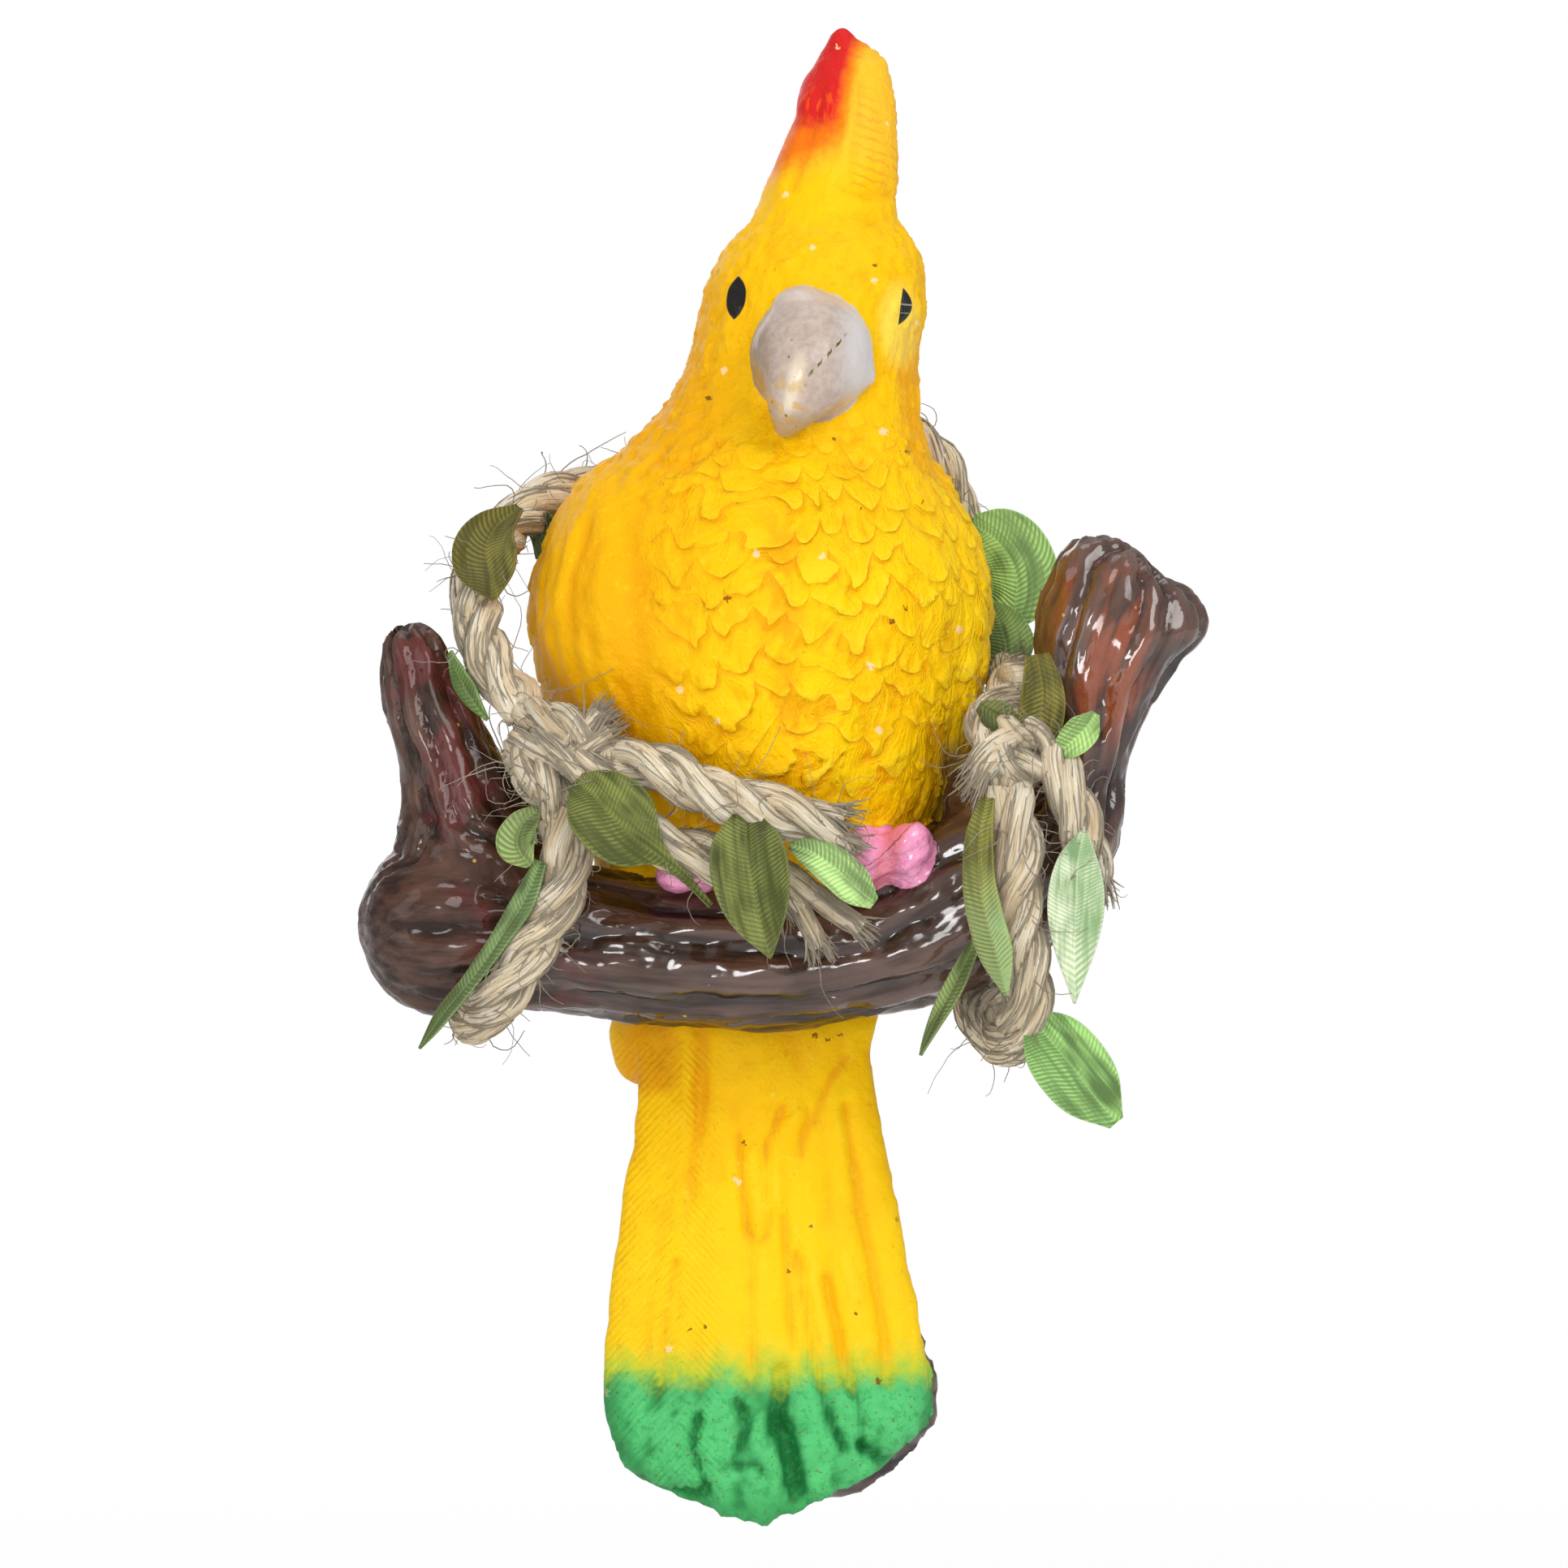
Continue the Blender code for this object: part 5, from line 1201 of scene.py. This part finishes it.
def castingFinish():
    finish = Finish("painted_resin", {"Specular IOR Level": 0.12, "Coat Roughness": 0.12, "Coat IOR": 1.7})
    ink = {name: tone(*colour) for name, colour in paint.items()}
    place = finish.objectPlace()
    x, y, z = finish.apart(place)
    bark, beak, toe = finish.apart(finish.attribute("zones"))
    u, v, breast = finish.apart(finish.attribute("plumage"))
    relief, small = finish.apart(finish.attribute("relief"))[:2]
    ragged = finish.noise(place, 0.9, 3.0, 0.6) - 0.5
    fine = finish.noise(place, 1.4, 4.0, 0.6)
    broad = finish.noise(place, 0.11, 2.0)

    # edges of the breast feathers, exact at every point
    def lowerEdge(row):
        across = (u + (row * 0.5).fraction()).fraction()
        return row - (1.0 - (across * 2.0 - 1.0) ** 2.0) * plumes["round"]
    floorRow = v.whole() + 1.0
    reached = 1.0 - (lowerEdge(floorRow) - v).over(0.0)
    row = floorRow - (1.0 - reached)
    low, high = lowerEdge(row), lowerEdge(row + 1.0)
    t = (v - low) / (high - low).most(0.05)
    across = (u + (row * 0.5).fraction()).fraction() - 0.5
    fan = across / (1.3 - t)
    barbs = (fan * 34.0 + ragged * 5.0).sine() * 0.5 + 0.5
    uneven = finish.noise(place, 0.35, 2.0).step(0.35, 0.6)
    # the crease under each feather's lip is dented and given painted shade; the lip gets painted highlight
    crease = (t + ragged * 0.25).step(0.72, 1.0) * breast * uneven
    lip = (t + ragged * 0.2).step(0.30, 0.0) * breast

    # the bird's yellows: painted shade in dips, on its left and its left neck; painted highlight on lips,
    # raised places and its right; paler worn places
    worn = finish.noise(place, 0.5, 3.0, 0.7).step(0.60, 0.74)
    grime = finish.noise(place, 0.8, 4.0, 0.7).step(0.60, 0.70)
    smudge = finish.distance(finish.stretch(place, (1.0, 0.0, 0.6)), (17.6, 0.0, 9.8)).step(1.9, 0.4)
    bird = finish.coats(
        finish.blend(broad.step(0.35, 0.65), ink["gold"], ink["warmGold"]),
        (relief.step(0.05, -0.45) * 0.65, ink["shadeInDips"]),
        (crease * 0.6, ink["crease"]),
        ((lip * 0.3 + relief.step(0.15, 0.6) * 0.4) * x.step(-14.0, 10.0), ink["lemon"]),
        (x.step(12.0, 20.0) * z.step(8.0, 20.0) * 0.35, ink["litRightSide"]),
        (x.step(3.0, -15.0) * z.step(4.0, 14.0) * 0.6, ink["shadedLeftSide"]),
        (x.step(1.0, -7.0) * z.step(42.0, 48.0) * z.step(66.0, 60.0) * 0.5, ink["shadedNeckLeft"]),
        ((x + 10.9).size().step(3.6, 1.6) * z.step(-5.0, -8.0) * z.step(-15.0, -13.5) * 0.85, ink["rump"]),
        ((fine - 0.5).step(0.06, 0.24) * 0.3, ink["lemon"]),
        (worn * z.step(-8.0, -14.0) * 0.5, ink["worn"]),
        (grime * (small * 0.5 + z.step(-8.0, -12.0) * 0.35), ink["grime"]),
        (smudge * 0.6, ink["smudge"]))
    # crest: combed on its right, red left of its pale ridge, orange under and beside the red
    combed = ((z + (x - 8.0) * 0.3 + ragged * 1.2) * 6.6).sine().step(0.2, 1.0) * x.step(7.6, 9.0) * uneven
    beside = z * 0.167 - 4.8 - x + ragged * 0.9 + y.most(-1.0) * 0.2
    redUp = (z + ragged * 2.6 - y.most(-1.0) * 0.3).step(75.6, 77.6)
    streaked = finish.noise(finish.stretch(place, (2.4, 1.0, 0.45)), 1.0, 2.0).step(0.5, 0.66)
    bird = finish.coats(
        bird, (z.step(54.0, 64.0) * 0.4, ink["forehead"]),
        (combed * z.step(68.5, 71.0) * z.step(81.0, 77.0) * 0.6, ink["combed"]),
        (z.step(70.0, 75.0) * 0.35, ink["crest"]),
        (beside.step(-0.8, 0.9) * (z - x * 0.45 + ragged * 2.4).step(69.4, 72.8), ink["crestOrange"]),
        (beside.step(0.5, 1.5) * redUp, ink["crestRed"]),
        (beside.step(0.2, 1.2) * streaked * z.step(73.5, 75.5) * z.step(81.0, 78.0) * 0.7,
         ink["crestStreak"]))
    # tail lemon, its tip green with a soft edge
    tipLine = z + ragged * 3.4 + relief.most(-0.5).least(0.5) * -1.6
    # the green tip, with painted shade in its dips, along its left edge and towards its bottom
    green = finish.coats(
        finish.blend(relief.step(0.42, -0.45) * 0.9, ink["green"], ink["greenShadeInDips"]),
        ((x + z.step(-44.0, -52.0) * -3.0).step(-11.8, -14.4) * 0.6, ink["greenShadeLeft"]),
        (z.step(-50.4, -53.6) * 0.5, ink["greenShadeBottom"]),
        (fine.step(0.52, 0.62) * 0.5, ink["greenMottle"]),
        (finish.noise(place, 2.0, 2.0).step(0.64, 0.72) * 0.7, ink["greenStain"]))
    towards = y.step(4.5, 2.5)
    bird = finish.coats(
        bird, (z.step(-12.0, -36.0) * 0.45, ink["tail"]), (tipLine.step(-37.0, -41.4), ink["lime"]),
        (tipLine.step(-39.8, -43.0), green),
        (nearSpots(finish, place, paleChips) * towards * 0.85, ink["chip"]),
        (nearSpots(finish, place, darkSpecks) * towards * 0.85, ink["speck"]))

    # beak: warm grey, with painted shade on its left and painted highlight on its right and down its ridge,
    # ochre at the tip
    ridge = (x - 1.9 - (z - 47.0) * 0.24).size().step(1.1, 0.1) * z.step(55.0, 52.0) * z.step(47.6, 49.4)
    wash = finish.noise(place, 0.75, 2.0).step(0.46, 0.62) * z.step(54.5, 49.0) * x.step(5.0, 3.0)
    slash = (x * 1.13 - z + 47.1 + ragged * 1.2).size().step(0.26, 0.11) * x.step(3.9, 4.6) * x.step(7.9, 7.2)
    slash = slash * ((x * 7.4 + ragged * 6.0).sine() * 0.5 + 0.5).step(0.3, 0.5)
    dots = finish.node("TexVoronoi", None,
                       {"Vector": finish.stretch(place, (1, 1, 1), (31.0, 7.0, 3.0)), "Scale": 0.8})
    shell = finish.coats(
        finish.blend(fine.step(0.35, 0.65), ink["beak"], ink["beakCloud"]),
        (x.step(6.0, 9.0) * 0.8, ink["beakLitRight"]),
        ((x + ragged * 1.4).step(1.6, -0.8) * z.step(57.4, 55.4) * 0.8, ink["beakShadedLeft"]),
        (ridge * 0.8, ink["beakRidgeHighlight"]), (z.step(58.0, 59.4) * 0.5, ink["beakTop"]),
        (wash * 0.7, ink["beakWash"]), (z.step(49.2, 47.4) * 0.6, ink["beakTip"]),
        (slash, ink["beakSlash"]),
        (dots.step(0.15, 0.09) * z.step(57.0, 54.0) * x.step(5.0, 2.6), ink["beakDots"]))
    # bark: brown, with painted shade in its dips and painted highlight on its pale ridges, reddish on the
    # left, rust inside the fork, ochre grit
    grain = finish.attribute("grain")
    streak = finish.noise(finish.stretch(grain, (0.9, 0.9, 0.5)), 1.0, 3.0)
    redPatch = finish.noise(place, 0.16, 2.0).step(0.53, 0.66) * x.step(-12.0, -22.0)
    flame = finish.noise(finish.stretch(grain, (0.55, 0.55, 0.35), (4.0, 0.0, 9.0)), 1.0, 2.0)
    flame = (flame.step(0.42, 0.58) * x.step(25.6, 28.5) * x.step(37.5, 33.5) * z.step(15.0, 20.0)
             * z.step(36.5, 32.0) * y.step(-5.0, -7.5))
    grit = finish.node("TexVoronoi", None,
                       {"Vector": finish.stretch(place, (1, 1, 1), (3.0, 9.0, 5.0)), "Scale": 0.30})
    wood = finish.coats(
        finish.blend(streak.step(0.35, 0.7), ink["bark"], ink["barkPale"]),
        (x.step(2.0, 24.0) * 0.5, ink["barkRight"]), (relief.step(0.0, -0.5) * 0.75, ink["barkShadeInDips"]),
        (relief.step(0.15, 0.5) * 0.3, ink["barkRidgeHighlight"]), (redPatch * 0.7, ink["barkRed"]),
        (flame * 0.7, ink["barkFlame"]), (grit.step(0.07, 0.04) * 0.85, ink["barkGrit"]))
    # feet, with painted shade in the crease between the toes
    skin = finish.coats(
        finish.blend(fine.step(0.35, 0.7), ink["foot"], ink["footPale"]),
        ((x - 11.6 + (z - 8.0) * -0.30).size().step(1.6, 0.5) * 0.75, ink["footCreaseShade"]))

    # eyes: the left one nearly oval, the right one flat on its left side, on a pale patch
    def eye(middleX, middleZ, halfWidth, halfHeight, lean, power, bow):
        up = (z - middleZ) / halfHeight
        curve = 1.0 - up.size() ** power
        side = (x + up * lean - curve * (bow * halfWidth) - middleX).size() / halfWidth
        return (side - curve).step(0.08, -0.08) * y.step(1.0, -1.0)
    eyes = eye(-2.45, 59.75, 0.9, 2.05, -0.2, 2.5, 0.0).most(eye(12.8, 59.0, 0.55, 1.75, -0.22, 2.0, 0.95))
    patch = finish.distance(finish.stretch(place, (1.0, 0.0, 0.5)), (12.7, 0.0, 28.6)).step(2.5, 1.2)
    glint = ((z - 59.2).size().step(0.10, 0.03)).most((z - 58.4).size().step(0.08, 0.02) * 0.6)
    glint = glint * x.step(12.0, 12.6)

    barkOn = (bark + ragged * 0.9).step(-0.12, 0.12)
    beakOn = (beak + ragged * 0.5).step(-0.15, 0.15)
    toeOn = (toe + ragged * 0.8 + 0.1).step(-0.08, 0.08)
    colour = finish.coats(
        bird, (barkOn, wood), (beakOn, shell), (toeOn, skin),
        (patch * 0.5 * (1.0 - beakOn) * y.step(1.0, -1.0), ink["eyePatch"]),
        (eyes, ink["eye"]), (eyes * glint * 0.6, ink["glint"]))

    birdOn = (1.0 - barkOn) * (1.0 - beakOn) * (1.0 - toeOn)
    rough = finish.noise(place, 0.6, 3.0) * 0.2 + 0.40
    rough = rough - beakOn * 0.1 - eyes * 0.25
    height = (crease * -1.0 + lip * 0.4 + barbs * breast * 0.22) * birdOn * 0.5
    height = height + fine * 0.5 * (1.0 - beakOn * 0.8) + finish.noise(place, 4.0, 2.0) * 0.15
    height = height + streak * barkOn * 1.8
    sweep = ((z + (x + 7.6).size() * 1.1) * 7.8 + ragged * 4.0).sine()
    height = height + sweep * z.step(-8.0, -12.0) * x.step(-2.0, -6.0) * birdOn * 0.10
    gloss = barkOn * (streak.step(0.3, 0.6) * 0.5 + 0.5) * (x.step(-27.0, -15.0) * 0.55 + 0.45)
    finish.feed(Base_Color=colour, Roughness=rough, Coat_Weight=gloss + eyes * 0.25 + beakOn * 0.25,
                Normal=finish.bump(height, 0.00035))
    return finish.material


def makeCasting():
    forms = buildForms()
    copies = [linkNew(name, form.data.copy()) for name, form in forms.items()]
    casting = joinPieces("parrot_painted", copies)
    applyModifier(casting, "REMESH", mode="VOXEL", voxel_size=castingMesh["voxel"] * mm, adaptivity=0.0)
    applyModifier(casting, "SMOOTH", factor=0.5, iterations=castingMesh["smoothing"])
    carveCasting(casting, forms)
    pick(casting)
    bpy.ops.object.shade_smooth()
    finishPiece(casting, castingFinish(), ["parrot_casting"])
    for form in forms.values():
        bpy.data.objects.remove(form)
    print("casting:", len(casting.data.polygons), "faces")


makeCasting()
for cordName in carried:
    declareCord(cordName)
print("cords declared:", len(carried))

# studio: a pale floor, soft lamps and a white surround
studio = {"floorDrop": 34.0, "floorSize": 6.0, "air": 0.46, "aim": (2, 0, 15)}
lamps = {
    # place in metres, size and power
    "key": ((0.38, -0.62, 0.42), 0.5, 3.1), "front": ((-0.14, -0.86, 0.03), 0.22, 1.6),
    "fill": ((-0.62, -0.5, 0.08), 0.6, 1.1), "top": ((0.05, 0.1, 0.75), 0.5, 1.0),
    "back": ((-0.3, 0.7, 0.25), 0.5, 1.2),
}


def areaLamp(name, place, aim, size, power):
    data = bpy.data.lights.new(name, "AREA")
    data.shape, data.size, data.energy = "DISK", size, power
    lamp = linkNew(name, data)
    lamp.location = place
    lamp.rotation_euler = (Vector(aim) - Vector(place)).to_track_quat("-Z", "Y").to_euler()


def buildStudio():
    deselectAll()
    floorZ = float(toWorld((0, 0, -54.5 - studio["floorDrop"]))[2])
    bpy.ops.mesh.primitive_plane_add(size=studio["floorSize"], location=(0, 0, floorZ))
    floor = bpy.context.object
    floor.name = "studio_floor"
    finish = Finish("pale_floor", {"Roughness": 0.9, "Base Color": (0.86, 0.86, 0.86, 1.0)})
    seen = finish.node("LightPath", None, None, 0).most(finish.node("LightPath", None, None, 3)).most(
        finish.node("LightPath", None, None, 6))
    glow = finish.node("Emission", None, {"Color": (1, 1, 1), "Strength": 1.0})
    mixed = finish.tree.nodes.new("ShaderNodeMixShader")
    far = finish.node("VectorMath", {"operation": "LENGTH"}, {0: finish.node("TexCoord", None, None, 3)}, 1)
    finish.tree.links.new((seen * (far.step(0.1, 0.5) * 0.12 + 0.88)).socket, mixed.inputs[0])
    finish.tree.links.new(finish.shader.outputs[0], mixed.inputs[1])
    finish.tree.links.new(glow.socket, mixed.inputs[2])
    finish.tree.links.new(mixed.outputs[0], finish.tree.nodes["Material Output"].inputs[0])
    floor.data.materials.append(finish.material)
    aim = toWorld(studio["aim"])
    for name, (place, size, power) in lamps.items():
        areaLamp(name, place, aim, size, power)
    world = bpy.data.worlds.new("studio_world")
    bpy.context.scene.world = world
    world.use_nodes = True
    tree = world.node_tree
    base = tree.nodes["Background"]
    base.inputs[0].default_value, base.inputs[1].default_value = (1, 1, 1, 1), studio["air"]
    bright = tree.nodes.new("ShaderNodeBackground")
    bright.inputs[0].default_value, bright.inputs[1].default_value = (1, 1, 1, 1), 1.0
    rays = tree.nodes.new("ShaderNodeLightPath")
    mixed = tree.nodes.new("ShaderNodeMixShader")
    seen = tree.nodes.new("ShaderNodeMath")
    seen.operation = "MAXIMUM"
    tree.links.new(rays.outputs[0], seen.inputs[0])
    tree.links.new(rays.outputs[6], seen.inputs[1])
    tree.links.new(seen.outputs[0], mixed.inputs[0])
    tree.links.new(base.outputs[0], mixed.inputs[1])
    tree.links.new(bright.outputs[0], mixed.inputs[2])
    tree.links.new(mixed.outputs[0], tree.nodes["World Output"].inputs[0])
    bpy.context.scene.view_settings.view_transform = "Standard"


buildStudio()
print("studio lit")
